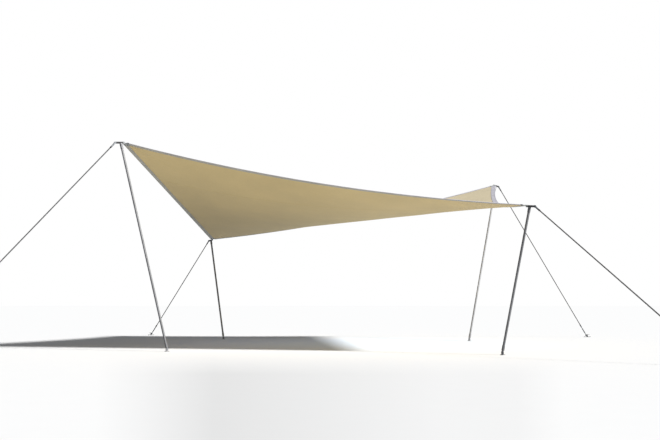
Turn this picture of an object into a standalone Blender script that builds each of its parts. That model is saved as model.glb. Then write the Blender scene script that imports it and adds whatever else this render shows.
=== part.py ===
"""A four-mast stretch tent: one saddle-shaped fabric sail between two high and two low corners.

Metres, +Z up. The origin is on the ground under the middle of the sail. High corners are at
front left and back right, low corners at front right and back left. Every corner repeats the
same set: a mast that leans outward on a pinned base plate, a head plate across its top, the
sail's corner plate on the inner end of that head and a guy rope on its outer end, which runs
down to a tensioner and a ground anchor.
"""

import math

import bmesh
import bpy
from mathutils import Matrix, Vector

COLLECTION = "stretch_tent"
CUTTERS = "stretch_tent_cutters"

# Where each corner stands: its kind, and its direction from the middle in degrees
CORNERS = {
    "front_left": ("high", 225),
    "front_right": ("low", 315),
    "back_right": ("high", 45),
    "back_left": ("low", 135),
}

# Masts, measured along the mast from the ground to the middle of the head plate
MAST_LENGTH = {"high": 4.52, "low": 3.0}
MAST_LEAN = math.radians(15)
FOOT_RADIUS = {"high": 4.59, "low": 5.27}  # from the middle of the tent, on the ground
MAST_TUBE = 0.0483  # outer diameter
MAST_WALL = 0.0032

# The sail: its edges' lines cross over the masts, a little above the head plates
TIP_RISE = {"high": 0.03, "low": 0.02}
EDGE_BOW = 0.19  # how far the middle of an edge is drawn in, seen from above
EDGE_SAG = 0.20  # how far the middle of an edge hangs under its straight line
RIGHT_SLACK = 0.05  # how much further in and down the middle of the right edge lies
CENTRE_SAG = 0.59  # how far the middle of the sail lies under the mean corner height
SHEET = 0.003  # thickness of the fabric
SHEET_CELLS = 16
HEM_SHARE = 0.0118  # width of the hem, as a share of the way across the sail
HEM_START = 0.0190  # where a hem starts, as a share of the edge's length
HEM_LAP = 0.015  # how far the hem's lips reach over the sheet
HEM_LIP = 0.0022
HEM_GROOVE = 0.0046
HEM_ROPE = 0.018  # thickness over the edge rope inside the hem

# Corner plates
PLATE_THICKNESS = 0.012
PLATE_NOSE = 0.028  # from the bolt to the plate's front edge, and half of that edge's width

# Forks, lugs and bolts, which are alike at every pinned end
LUG = 0.014  # thickness of a head plate, lug or tongue
LUG_ROUND = 0.020  # radius of its rounded end
EAR = 0.007  # thickness of a fork's ear
EAR_ROUND = 0.024
FORK_PLAY = 0.0004  # free room on each side of a lug
BOLT_RADIUS = 0.006
BOLT_HOLE = 0.0068
BOLT_HEAD = 0.011
FORK_THROAT = 0.027  # from the bolt to the bottom of the fork
FORK_BODY = 0.020  # length of the block that carries the ears
FORK_HEIGHT = 0.024

# Mast heads
HEAD_INNER = 0.070  # from the mast's axis to the sail's bolt
HEAD_OUTER = 0.125  # from the mast's axis to the guy's bolt
HEAD_TURN = math.radians(9)  # how far the plate is turned up from square to the mast
HEAD_SOCKET_RADIUS = 0.029
HEAD_SOCKET = 0.113
HEAD_CAP = 0.020

# Mast feet and base plates
PIVOT = 0.060  # from the ground to the foot's bolt, along the mast
FOOT_SLEEVE_RADIUS = 0.029
FOOT_SLEEVE_START = 0.092
FOOT_SLEEVE_END = 0.190
FOOT_FLOOR = 0.012
BASE_SIDE = 0.08
BASE_THICKNESS = 0.008

# Guy ropes, tensioners and ground anchors
ROPE_RADIUS = 0.013
SOCKET_RADIUS = 0.017
SOCKET = 0.085
SOCKET_GRIP = 0.040  # how much of the rope's end is inside its socket
TENSIONER_STUD = 0.055
TENSIONER_STUD_RADIUS = 0.008
TENSIONER_BODY = 0.180
TENSIONER_BODY_RADIUS = 0.016
EYE_RADIUS = 9.76  # from the middle of the tent to the anchor's eye
EYE_HEIGHT = 0.050
STAKE_SETBACK = 0.045  # from the eye out to the stake
STAKE_RADIUS = 0.016
STAKE_HEIGHT = 0.072
STAKE_CAP = (0.105, 0.042, 0.008)
ANCHOR_PLATE = (0.20, 0.12, 0.008)

GAP = 0.0004  # between pieces that touch
MERGE = 0.00001
ROUND_SIDES = 16
BOLT_SIDES = 8

FABRIC_COLOUR = (0.43, 0.34, 0.20)
HEM_COLOUR = (0.26, 0.28, 0.27)
TUBE_COLOUR = (0.34, 0.34, 0.35)
DARK_COLOUR = (0.02, 0.02, 0.022)
ROPE_COLOUR = (0.10, 0.10, 0.10)
ZINC_COLOUR = (0.22, 0.23, 0.24)
PLATE_COLOUR = (0.34, 0.355, 0.35)


def clear_scene():
    for item in list(bpy.data.objects):
        bpy.data.objects.remove(item, do_unlink=True)


def new_collection(name):
    collection = bpy.data.collections.new(name)
    bpy.context.scene.collection.children.link(collection)
    return collection


def principled(name, colour, roughness, metallic):
    material = bpy.data.materials.new(name)
    material.use_nodes = True
    shader = material.node_tree.nodes["Principled BSDF"]
    shader.inputs["Base Color"].default_value = (*colour, 1)
    shader.inputs["Roughness"].default_value = roughness
    shader.inputs["Metallic"].default_value = metallic
    return material


def add_object(name, mesh, material, parent=None, matrix=None):
    item = bpy.data.objects.new(name, mesh)
    bpy.data.collections[COLLECTION].objects.link(item)
    item.data.materials.clear()
    item.data.materials.append(material)
    item.parent = parent
    if matrix is not None:
        item.matrix_local = matrix
    return item


# Simple solids, which are kept as cutters or joined to one another

def working_object(name, work):
    mesh = bpy.data.meshes.new(name)
    bmesh.ops.recalc_face_normals(work, faces=work.faces)
    work.to_mesh(mesh)
    work.free()
    item = bpy.data.objects.new(name, mesh)
    item.hide_render = True
    item.display_type = "WIRE"
    bpy.data.collections[CUTTERS].objects.link(item)
    return item


def box(low, high):
    """A block between two opposite corners."""
    low, high = Vector(low), Vector(high)
    work = bmesh.new()
    bmesh.ops.create_cube(work, size=1)
    bmesh.ops.scale(work, vec=high - low, verts=work.verts)
    bmesh.ops.translate(work, vec=(low + high) / 2, verts=work.verts)
    return working_object("block", work)


def rod(start, end, radius, sides=ROUND_SIDES):
    """A round bar from one point to another."""
    start, end = Vector(start), Vector(end)
    turn = (end - start).to_track_quat("Z", "Y").to_matrix().to_4x4()
    work = bmesh.new()
    bmesh.ops.create_cone(
        work,
        cap_ends=True,
        segments=sides,
        radius1=radius,
        radius2=radius,
        depth=(end - start).length,
        matrix=Matrix.Translation((start + end) / 2) @ turn,
    )
    return working_object("bar", work)


def turned(profile, along="Z"):
    """A round solid. The profile gives places along the axis and radii, from axis to axis."""
    work = bmesh.new()
    verts = [work.verts.new((radius, 0, place)) for place, radius in profile]
    edges = [work.edges.new(pair) for pair in zip(verts, verts[1:])]
    bmesh.ops.spin(
        work,
        geom=verts + edges,
        axis=(0, 0, 1),
        cent=(0, 0, 0),
        angle=math.tau,
        steps=ROUND_SIDES,
    )
    bmesh.ops.remove_doubles(work, verts=work.verts, dist=MERGE)
    if along == "X":
        bmesh.ops.rotate(work, matrix=Matrix.Rotation(math.pi / 2, 3, "Y"), verts=work.verts)
    return working_object("turning", work)


def slab(outline, low, high, upright=True):
    """A plate between two levels: its outline is in X and Z if it is upright, else in X and Y."""
    work = bmesh.new()
    face = work.faces.new([work.verts.new((x, y, low)) for x, y in outline])
    top = bmesh.ops.extrude_face_region(work, geom=[face])["geom"]
    raised = [part for part in top if isinstance(part, bmesh.types.BMVert)]
    bmesh.ops.translate(work, vec=(0, 0, high - low), verts=raised)
    if upright:
        for vert in work.verts:
            vert.co = Vector((vert.co.x, vert.co.z, vert.co.y))
    return working_object("slab", work)


def round_end(at, away, radius):
    """Half a circle about `at`, on the side that faces away from the point `away`."""
    at = Vector(at)
    ahead = (at - Vector(away)).normalized()
    side = Vector((-ahead.y, ahead.x))
    turns = [math.pi * (k / (ROUND_SIDES / 2) - 0.5) for k in range(ROUND_SIDES // 2 + 1)]
    return [at + radius * (math.cos(t) * ahead + math.sin(t) * side) for t in turns]


def tongue(at, end, radius, half_width):
    """The outline of a bar with a round end about `at` and a square end at `end`."""
    at, end = Vector(at), Vector(end)
    ahead = (at - end).normalized()
    side = half_width * Vector((-ahead.y, ahead.x))
    return [*round_end(at, end, radius), end + side, end - side]


def fuse(name, solids, cutters=()):
    """One mesh: the solids joined, less the cutters."""
    base = solids[0]
    steps = [("UNION", item) for item in solids[1:]] + [("DIFFERENCE", item) for item in cutters]
    for operation, item in steps:
        modifier = base.modifiers.new(operation.title(), "BOOLEAN")
        modifier.operation = operation
        modifier.object = item
    bpy.context.view_layer.update()
    graph = bpy.context.evaluated_depsgraph_get()
    mesh = bpy.data.meshes.new_from_object(base.evaluated_get(graph))
    mesh.name = name
    mesh.shade_smooth()
    mesh.set_sharp_from_angle(angle=math.radians(35))
    for item in (*solids, *cutters):
        bpy.data.objects.remove(item, do_unlink=True)
    return mesh


# Forks and lugs. A bolt lies along Y

def bolt(at, reach):
    """A bolt through `at` with a hexagonal head and nut, `reach` from the middle to each head."""
    x, z = at
    shank = rod((x, -reach, z), (x, reach, z), BOLT_RADIUS, BOLT_SIDES)
    ends = [
        rod((x, side * reach, z), (x, side * (reach + BOLT_RADIUS), z), BOLT_HEAD, 6)
        for side in (-1, 1)
    ]
    return [shank, *ends]


def bolt_hole(at):
    x, z = at
    return rod((x, -LUG, z), (x, LUG, z), BOLT_HOLE, BOLT_SIDES)


def fork(at, end, half_width):
    """Two ears with round ends about the bolt at `at`, which reach back to the point `end`."""
    inner = LUG / 2 + FORK_PLAY
    outer = inner + EAR
    outline = tongue(at, end, EAR_ROUND, half_width)
    return [slab(outline, inner, outer), slab(outline, -outer, -inner), *bolt(at, outer)]


def fork_end():
    """A fork on the bolt at the origin, with the block that carries its ears, toward +X."""
    half_width = LUG / 2 + FORK_PLAY + EAR - GAP
    half_height = FORK_HEIGHT / 2 - GAP
    end = FORK_THROAT + FORK_BODY
    block = box((FORK_THROAT, -half_width, -half_height), (end, half_width, half_height))
    return [block, *fork((0, 0), (FORK_THROAT + FORK_BODY / 2, 0), FORK_HEIGHT / 2)]


# Places on a mast and a guy

def mast_frame(kind):
    """From the mast's own frame (Z along the mast) to its corner's frame (X outward)."""
    lean = Matrix.Rotation(MAST_LEAN, 4, "Y")
    return Matrix.Translation((FOOT_RADIUS[kind], 0, 0)) @ lean


def head_place(length, across):
    """A place on the head plate's middle line, in the mast's frame."""
    return Vector((across * math.cos(HEAD_TURN), length + across * math.sin(HEAD_TURN)))


def head_point(kind, across):
    x, z = head_place(MAST_LENGTH[kind], across)
    return mast_frame(kind) @ Vector((x, 0, z))


def guy_frame(kind):
    """From the guy's own frame (X from the anchor's eye to the head) to its corner's frame."""
    eye = Vector((EYE_RADIUS, 0, EYE_HEIGHT))
    line = head_point(kind, HEAD_OUTER) - eye
    pitch = math.atan2(line.z, line.x)
    return Matrix.Translation(eye) @ Matrix.Rotation(-pitch, 4, "Y"), line.length


# The sail's surface

def arch(t):
    return 4 * t * (1 - t)


def corner_turn(corner):
    return Matrix.Rotation(math.radians(CORNERS[corner][1]), 4, "Z")


def sail_tip(corner):
    kind = CORNERS[corner][0]
    return corner_turn(corner) @ (head_point(kind, 0) + Vector((0, 0, TIP_RISE[kind])))


def inward(start, end):
    """The level direction that points to the middle of the tent from an edge."""
    along = (end - start).normalized()
    return Vector((-along.y, along.x, 0)).normalized()


def sail_point(u, v):
    """A point of the sail: u runs from left to right, v from front to back, both 0 to 1."""
    tips = [sail_tip(name) for name in ("front_left", "front_right", "back_right", "back_left")]
    front_left, front_right, back_right, back_left = tips
    flat = front_left.lerp(front_right, u).lerp(back_left.lerp(back_right, u), v)
    slack = RIGHT_SLACK * u * arch(v) ** 2
    pull = EDGE_BOW * arch(u) * ((1 - v) * inward(front_left, front_right))
    pull += EDGE_BOW * arch(u) * (v * inward(back_right, back_left))
    pull += EDGE_BOW * arch(v) * ((1 - u) * inward(back_left, front_left))
    pull += (EDGE_BOW * arch(v) * u + slack) * inward(front_right, back_right)
    edges = arch(u) * (1 - arch(v)) + arch(v) * (1 - arch(u))
    sag = EDGE_SAG * edges + CENTRE_SAG * arch(u) * arch(v) + slack * (1 - arch(u))
    return flat + pull - Vector((0, 0, sag))


def from_corner(corner, a, b):
    """A point of the sail, from shares a and b along the two edges that leave a corner."""
    places = {
        "front_left": (a, b),
        "front_right": (1 - b, a),
        "back_right": (1 - a, 1 - b),
        "back_left": (b, 1 - a),
    }
    return sail_point(*places[corner])


def grid_line(number):
    """Where the sheet's grid lines lie, as a share of the way across."""
    return HEM_SHARE + number * (1 - 2 * HEM_SHARE) / SHEET_CELLS


def make_canopy(material):
    work = bmesh.new()
    bmesh.ops.create_grid(work, x_segments=SHEET_CELLS, y_segments=SHEET_CELLS, size=0.5)
    for vert in work.verts:
        u = grid_line((vert.co.x + 0.5) * SHEET_CELLS)
        v = grid_line((vert.co.y + 0.5) * SHEET_CELLS)
        vert.co = sail_point(u, v)
    mesh = bpy.data.meshes.new("canopy")
    work.to_mesh(mesh)
    work.free()
    mesh.shade_smooth()
    canopy = add_object("canopy", mesh, material)
    shell = canopy.modifiers.new("Fabric", "SOLIDIFY")
    shell.thickness = SHEET
    shell.offset = 0


def hem_section(width):
    """Half of the hem's outline: how far from the outer edge, and how far from the middle."""
    lip, groove = HEM_GROOVE / 2 + HEM_LIP, HEM_GROOVE / 2
    return [
        (0, HEM_ROPE / 4),
        (HEM_ROPE / 3, HEM_ROPE / 2),
        (HEM_ROPE, HEM_ROPE / 2),
        (HEM_ROPE * 1.6, lip),
        (width + HEM_LAP, lip),
        (width + HEM_LAP, groove),
        (width - 2 * GAP, groove),
    ]


def hem_ring(corner, t):
    """The hem's closed outline at a place along its edge, outer edge first."""
    outer = from_corner(corner, t, 0)
    inner = from_corner(corner, t, HEM_SHARE)
    across = (inner - outer).normalized()
    ahead = from_corner(corner, t + HEM_SHARE / 2, 0) - from_corner(corner, t - HEM_SHARE / 2, 0)
    normal = ahead.cross(across).normalized()
    half = hem_section((inner - outer).length)
    upper = [outer + x * across + z * normal for x, z in half]
    lower = [outer + x * across - z * normal for x, z in reversed(half)]
    return upper + lower


def make_hem(name, corner, material):
    """A hem lofted along the edge that leaves `corner`, with the edge rope sewn inside it."""
    lines = [grid_line(number) for number in range(SHEET_CELLS + 1)]
    stations = [t for t in lines if HEM_START < t < 1 - HEM_START]
    stations = [HEM_START, *stations, 1 - HEM_START]
    work = bmesh.new()
    rings = [[work.verts.new(point) for point in hem_ring(corner, t)] for t in stations]
    for ring, following in zip(rings, rings[1:]):
        for k in range(len(ring)):
            j = (k + 1) % len(ring)
            work.faces.new((ring[k], ring[j], following[j], following[k]))
    work.faces.new(rings[0])
    work.faces.new(rings[-1])
    bmesh.ops.recalc_face_normals(work, faces=work.faces)
    mesh = bpy.data.meshes.new(name)
    work.to_mesh(mesh)
    work.free()
    mesh.shade_smooth()
    mesh.set_sharp_from_angle(angle=math.radians(35))
    add_object(name, mesh, material)


def plate_frame(corner):
    """The sail's own frame at a corner: X outward, Z square to the sheet, from its corner."""
    start = from_corner(corner, HEM_SHARE, HEM_SHARE)
    one = (from_corner(corner, grid_line(1), HEM_SHARE) - start).normalized()
    other = (from_corner(corner, HEM_SHARE, grid_line(1)) - start).normalized()
    normal = one.cross(other).normalized()
    outward = -(one + other).normalized()
    side = normal.cross(outward)
    frame = Matrix((outward, side, normal)).transposed().to_4x4()
    frame.translation = start
    return frame


def make_corner_plate(corner, material):
    """A plate that takes the sheet's tip in a slot, with a fork over the mast head."""
    kind = CORNERS[corner][0]
    frame = plate_frame(corner)
    to_plate = frame.inverted()
    hole = to_plate @ corner_turn(corner) @ head_point(kind, -HEAD_INNER)
    reach = HEM_START - HEM_SHARE / 10
    back = to_plate @ from_corner(corner, reach, reach)
    left = to_plate @ from_corner(corner, reach, 0)
    right = to_plate @ from_corner(corner, 0, reach)
    nose = hole.x - PLATE_NOSE
    outline = [
        (back.x, back.y),
        (left.x, left.y),
        (nose, left.y / abs(left.y) * PLATE_NOSE),
        (nose, right.y / abs(right.y) * PLATE_NOSE),
        (right.x, right.y),
    ]
    far = Vector((back.x * 3, 0))
    slot_side = left.y * 2.5
    slot_outline = [(2 * GAP, 0), (far.x, slot_side), (far.x, -slot_side)]
    half = PLATE_THICKNESS / 2
    solids = [slab(outline, -half, half, upright=False)]
    solids += fork((hole.x, hole.z), (nose - PLATE_NOSE / 2, 0), half - GAP)
    slot = slab(slot_outline, -HEM_GROOVE / 2, HEM_GROOVE / 2, upright=False)
    mesh = fuse("corner_plate", solids, [slot])
    add_object(f"{corner}_corner_plate", mesh, material, matrix=frame)


# Meshes that more than one corner shares

def head_mesh(length):
    """The head: a socket over the mast's top and a plate across it, in the mast's frame."""
    cap = length - LUG_ROUND / 2
    bottom = cap - HEAD_SOCKET
    bore, floor = MAST_TUBE / 2 + GAP, cap - HEAD_CAP
    outside = [(cap, 0), (cap, HEAD_SOCKET_RADIUS), (bottom, HEAD_SOCKET_RADIUS)]
    inner, outer = head_place(length, -HEAD_INNER), head_place(length, HEAD_OUTER)
    across = round_end(inner, outer, LUG_ROUND) + round_end(outer, inner, LUG_ROUND)
    solids = [
        turned([*outside, (bottom, bore), (floor, bore), (floor, 0)]),
        slab(across, -LUG / 2, LUG / 2),
    ]
    return fuse("mast_head", solids, [bolt_hole(inner), bolt_hole(outer)])


def foot_mesh():
    """The foot: a sleeve around the mast's end with a tongue under it, in the mast's frame."""
    bottom, top = FOOT_SLEEVE_START, FOOT_SLEEVE_END
    bore, floor = MAST_TUBE / 2 + GAP, bottom + FOOT_FLOOR
    outside = [(bottom, 0), (bottom, FOOT_SLEEVE_RADIUS), (top, FOOT_SLEEVE_RADIUS)]
    outline = tongue((0, PIVOT), (0, bottom + FOOT_FLOOR / 2), LUG_ROUND, LUG_ROUND)
    solids = [
        turned([*outside, (top, bore), (floor, bore), (floor, 0)]),
        slab(outline, -LUG / 2, LUG / 2),
    ]
    return fuse("mast_foot", solids, [bolt_hole((0, PIVOT))])


def tube_mesh(length):
    """The mast: a tube with open ends, from the foot's floor to the head's cap."""
    start = FOOT_SLEEVE_START + FOOT_FLOOR + GAP
    end = length - LUG_ROUND / 2 - HEAD_CAP - GAP
    outside, inside = MAST_TUBE / 2, MAST_TUBE / 2 - MAST_WALL
    ring = [(start, inside), (start, outside), (end, outside), (end, inside), (start, inside)]
    return fuse("mast", [turned(ring)])


def base_mesh():
    """The base plate, with its fork upright about the foot's bolt, in the corner's frame."""
    pivot = Vector((PIVOT * math.sin(MAST_LEAN), PIVOT * math.cos(MAST_LEAN)))
    half = BASE_SIDE / 2
    plate = box((pivot.x - half, -half, 0), (pivot.x + half, half, BASE_THICKNESS))
    return fuse("base_plate", [plate, *fork(pivot, (pivot.x, BASE_THICKNESS / 2), EAR_ROUND)])


def rope_socket(start, end):
    """The last stretch of a turned profile: a socket whose end takes the rope."""
    bore, floor = ROPE_RADIUS + GAP, end - SOCKET_GRIP
    return [(start, SOCKET_RADIUS), (end, SOCKET_RADIUS), (end, bore), (floor, bore), (floor, 0)]


def terminal_mesh():
    """The rope's upper end: a fork over the head plate and a socket, in the guy's frame."""
    start = FORK_THROAT + FORK_BODY - GAP
    profile = [(start, 0), *rope_socket(start, start + SOCKET)]
    return fuse("guy_terminal", [*fork_end(), turned(profile, "X")])


def tensioner_mesh():
    """The tensioner: a fork, two studs with the turning body between them, and a socket."""
    start = FORK_THROAT + FORK_BODY - GAP
    body_start = start + TENSIONER_STUD
    body_end = body_start + TENSIONER_BODY
    socket_start = body_end + TENSIONER_STUD
    end = socket_start + SOCKET
    profile = [
        (start, 0),
        (start, TENSIONER_STUD_RADIUS),
        (body_start, TENSIONER_STUD_RADIUS),
        (body_start, TENSIONER_BODY_RADIUS),
        (body_end, TENSIONER_BODY_RADIUS),
        (body_end, TENSIONER_STUD_RADIUS),
        (socket_start, TENSIONER_STUD_RADIUS),
        *rope_socket(socket_start, end),
    ]
    return fuse("guy_tensioner", [*fork_end(), turned(profile, "X")]), end


def rope_mesh(start, end):
    return fuse("guy_rope", [rod((start, 0, 0), (end, 0, 0), ROPE_RADIUS, BOLT_SIDES)])


def anchor_mesh():
    """The ground anchor: a plate, a stake with its outward cap, and an eye on the inner side."""
    stake = EYE_RADIUS + STAKE_SETBACK
    length, width, thickness = ANCHOR_PLATE
    cap_length, cap_width, cap_thickness = STAKE_CAP
    cap_start = stake - STAKE_RADIUS - GAP
    low, high = STAKE_HEIGHT - cap_thickness / 2, STAKE_HEIGHT + cap_thickness / 2
    eye = (EYE_RADIUS, EYE_HEIGHT)
    solids = [
        box((stake - length / 2, -width / 2, 0), (stake + length / 2, width / 2, thickness)),
        rod((stake, 0, thickness / 2), (stake, 0, STAKE_HEIGHT), STAKE_RADIUS),
        box((cap_start, -cap_width / 2, low), (cap_start + cap_length, cap_width / 2, high)),
        slab(tongue(eye, (stake, EYE_HEIGHT), LUG_ROUND, LUG_ROUND - GAP), -LUG / 2, LUG / 2),
    ]
    return fuse("ground_anchor", solids, [bolt_hole(eye)])


def make_corners(tube, dark, rope, zinc):
    foot, base, terminal, anchor = foot_mesh(), base_mesh(), terminal_mesh(), anchor_mesh()
    tensioner, tensioner_end = tensioner_mesh()
    terminal_grip = FORK_THROAT + FORK_BODY + SOCKET - SOCKET_GRIP
    for kind in MAST_LENGTH:
        mast = mast_frame(kind)
        guy, guy_length = guy_frame(kind)
        head, pole = head_mesh(MAST_LENGTH[kind]), tube_mesh(MAST_LENGTH[kind])
        rope_start = tensioner_end - SOCKET_GRIP + GAP
        line = rope_mesh(rope_start, guy_length - terminal_grip - GAP)
        upper_end = guy @ Matrix.Translation((guy_length, 0, 0)) @ Matrix.Rotation(math.pi, 4, "Z")
        ground = Matrix.Translation((FOOT_RADIUS[kind], 0, 0))
        pieces = {
            "base_plate": (base, tube, ground),
            "mast_foot": (foot, tube, mast),
            "mast": (pole, tube, mast),
            "mast_head": (head, dark, mast),
            "guy_terminal": (terminal, zinc, upper_end),
            "guy_rope": (line, rope, guy),
            "guy_tensioner": (tensioner, zinc, guy),
            "ground_anchor": (anchor, dark, Matrix.Identity(4)),
        }
        for corner, (corner_kind, degrees) in CORNERS.items():
            if corner_kind != kind:
                continue
            hub = bpy.data.objects.new(f"{corner}_corner", None)
            hub.rotation_euler.z = math.radians(degrees)
            bpy.data.collections[COLLECTION].objects.link(hub)
            for piece, (mesh, material, matrix) in pieces.items():
                add_object(f"{corner}_{piece}", mesh, material, hub, matrix)


def main():
    clear_scene()
    new_collection(COLLECTION)
    new_collection(CUTTERS)
    fabric = principled("canopy_fabric", FABRIC_COLOUR, 0.8, 0)
    webbing = principled("hem_webbing", HEM_COLOUR, 0.75, 0)
    tube = principled("galvanised_tube", TUBE_COLOUR, 0.4, 0.8)
    dark = principled("black_steel", DARK_COLOUR, 0.5, 0)
    rope = principled("guy_rope", ROPE_COLOUR, 0.8, 0)
    zinc = principled("dull_zinc", ZINC_COLOUR, 0.5, 0.7)
    plate = principled("plate_steel", PLATE_COLOUR, 0.5, 0)
    make_canopy(fabric)
    make_hem("front_hem", "front_left", webbing)
    make_hem("right_hem", "front_right", webbing)
    make_hem("back_hem", "back_right", webbing)
    make_hem("left_hem", "back_left", webbing)
    for corner in CORNERS:
        make_corner_plate(corner, plate)
    make_corners(tube, dark, rope, zinc)


main()
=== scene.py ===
"""Dresses the stretch tent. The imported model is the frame, and each of its nodes gets a detailed
piece in its place: the sail with its hems, the plates, masts, guy ropes and ground fittings. The
stage adds a camera, a pale floor and light.

Metres, +Z up, origin on the ground under the middle of the sail.
"""

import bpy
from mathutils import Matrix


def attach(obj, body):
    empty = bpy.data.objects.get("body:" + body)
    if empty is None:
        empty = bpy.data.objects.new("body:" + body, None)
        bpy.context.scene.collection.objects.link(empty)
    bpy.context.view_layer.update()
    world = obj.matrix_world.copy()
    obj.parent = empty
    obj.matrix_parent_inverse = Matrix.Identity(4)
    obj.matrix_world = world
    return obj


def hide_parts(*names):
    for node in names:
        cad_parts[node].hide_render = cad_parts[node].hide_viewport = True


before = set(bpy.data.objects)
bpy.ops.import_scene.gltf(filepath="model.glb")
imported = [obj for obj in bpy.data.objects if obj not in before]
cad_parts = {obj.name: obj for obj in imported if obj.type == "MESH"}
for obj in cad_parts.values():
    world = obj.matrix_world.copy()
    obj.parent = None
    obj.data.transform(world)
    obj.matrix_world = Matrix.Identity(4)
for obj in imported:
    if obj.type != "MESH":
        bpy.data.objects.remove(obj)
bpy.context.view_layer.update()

import math

import bmesh
import bpy
import numpy as np
from bpy.props import FloatProperty, FloatVectorProperty, IntProperty, PointerProperty
from bpy.types import Operator, Panel, PropertyGroup
from mathutils import Matrix, Vector
from mathutils.geometry import intersect_line_line_2d, tessellate_polygon

bl_info = {
    "name": "Stretch tent",
    "version": (1, 0, 0),
    "blender": (4, 5, 0),
    "location": "3D View > Sidebar > Stretch tent",
    "description": "Builds a four-mast stretch tent piece by piece on its packed frame",
    "category": "Object",
}

# Each corner's kind, and its direction from the middle in degrees
CORNERS = {
    "front_left": ("high", 225),
    "front_right": ("low", 315),
    "back_right": ("high", 45),
    "back_left": ("low", 135),
}
# Each hem, and the corner that it starts from
HEMS = {
    "front_hem": "front_left",
    "right_hem": "front_right",
    "back_hem": "back_right",
    "left_hem": "back_left",
}
# Each fitting, with the node that it replaces, its slot and its finishes
FITTINGS = {
    "head_plate": ("mast_head", "black_steel", ("black_steel", "dull_zinc", "galvanised_tube")),
    "mast_tube": ("mast", "galvanised_tube", ("galvanised_tube", "dull_zinc")),
    "foot_sleeve": ("mast_foot", "galvanised_tube", ("galvanised_tube", "dull_zinc")),
    "ground_plate": ("base_plate", "galvanised_tube", ("galvanised_tube", "dull_zinc")),
    "rope_fork": ("guy_terminal", "dull_zinc", ("dull_zinc", "dull_zinc", "black_rubber")),
    "braided_rope": ("guy_rope", "guy_rope", ("guy_rope",)),
    "turnbuckle": ("guy_tensioner", "dull_zinc", ("dull_zinc", "dull_zinc", "black_rubber")),
    "anchor_stake": ("ground_anchor", "black_steel", ("black_steel", "dull_zinc")),
}
KINDS = ("high", "low")
IDENTITY = Matrix.Identity(4)
# Swaps Y and Z, so that a plate drawn in X and Y stands upright in X and Z
UPRIGHT = Matrix(((1, 0, 0, 0), (0, 0, 1, 0), (0, 1, 0, 0), (0, 0, 0, 1)))
# Turns a piece's axis from Z to X
TO_X = Matrix.Rotation(math.pi / 2, 4, "Y")

# Sizes that the frame fixes, first of the sail
TIP_RISE = {"high": 0.03, "low": 0.02}  # from the end of a mast's axis up to the sail's tip
HEM_SHARE = 0.0118  # width of a hem, as a share of the way across the sail
HEM_START = 0.0190  # where a hem starts, as a share of the edge's length
HEM_TUCK = 0.0012  # how much nearer to the corner its webbing starts, up to the corner plate
HEM_LAP = 0.015  # how far a hem reaches over the cloth
HEM_LIP = 0.0022
HEM_GROOVE = 0.0046
HEM_ROPE = 0.018  # thickness over the edge rope inside a hem

# Corner plates
PLATE_THICKNESS = 0.012
PLATE_NOSE = 0.028  # from the bolt to the plate's front edge, and half of that edge's width
FILLER_SHARE = 0.985  # how far what fills the gap between two plates reaches toward their edges
PLATE_BOLT_RADIUS = 0.004
PLATE_BOLT_HEAD = 0.0066
# The bolts beside the middle one: how far from the cloth's corner to the plate's rear edge, and how
# far along that edge
PLATE_BOLTS = ((0.66, 0.42), (0.70, 0.80))
SLEEVE_START, SLEEVE_END = -0.0020, 0.0030  # from the plate's end, as shares of the sail's edge

# Forks, lugs and bolts, which are alike at every pinned end
LUG = 0.014  # thickness of a head plate, lug or tongue
LUG_ROUND = 0.020  # radius of its rounded end
EAR = 0.007  # thickness of a fork's ear
EAR_ROUND = 0.024
FORK_PLAY = 0.0004  # free room on each side of a lug
FORK_INSIDE = LUG / 2 + FORK_PLAY  # from a fork's middle to the inner face of its ear
FORK_OUTSIDE = FORK_INSIDE + EAR
FORK_THROAT = 0.027  # from the bolt to the bottom of the fork
FORK_BODY = 0.020  # length of the block that carries the ears
FORK_HEIGHT = 0.024
FORK_LENGTH = FORK_THROAT + FORK_BODY
BOLT_RADIUS = 0.006
BOLT_HOLE = 0.0068
BOLT_HEAD = 0.011

# Radius of the weld beads
HEAVY_BEAD = 0.0034
FOOT_BEAD = 0.0032
LIGHT_BEAD = 0.0024
PLATE_BEAD = 0.0018

# Mast heads
HEAD_INNER = 0.070  # from the mast's axis to the sail's bolt
HEAD_OUTER = 0.125  # from the mast's axis to the guy's bolt
HEAD_TURN = 9  # how many degrees the plate is turned up from square to the mast
HEAD_SOCKET_RADIUS = 0.029
HEAD_SOCKET = 0.113
HEAD_CAP = 0.020
HEAD_SCREWS = (0.040, 0.088)  # from the socket's closed end down to its set screws
BUTTON_AWAY = 0.045  # from a socket's or sleeve's end to the spring button beside it

# Mast feet and base plates
PIVOT = 0.060  # from the ground to the foot's bolt, along the mast
FOOT_SLEEVE_RADIUS = 0.029
FOOT_SLEEVE_START = 0.092
FOOT_SLEEVE_END = 0.190
FOOT_FLOOR = 0.012
BASE_SIDE = 0.08
BASE_THICKNESS = 0.008
BASE_PEGS = (0.030, 0.030)  # how far its pegs lie from its middle, outward and to the side
BASE_PEG_SCALE = 0.58  # their size beside that of an anchor's pegs

# Guy ropes, tensioners and ground anchors
SOCKET_RADIUS = 0.017
SOCKET = 0.085
SOCKET_GRIP = 0.040  # how much of the rope's end is inside its socket
TENSIONER_STUD = 0.055
TENSIONER_STUD_RADIUS = 0.008
TENSIONER_BODY = 0.180
TENSIONER_BODY_RADIUS = 0.016
EYE_RADIUS = 9.76  # from the middle of the tent to an anchor's eye
EYE_HEIGHT = 0.050
STAKE_SETBACK = 0.045  # from the eye out to the stake
STAKE_RADIUS = 0.016
STAKE_HEIGHT = 0.072
STAKE_CAP = (0.105, 0.042, 0.008)
ANCHOR_PLATE = (0.20, 0.12, 0.008)
ANCHOR_PEGS = (0.080, 0.040)

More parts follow.
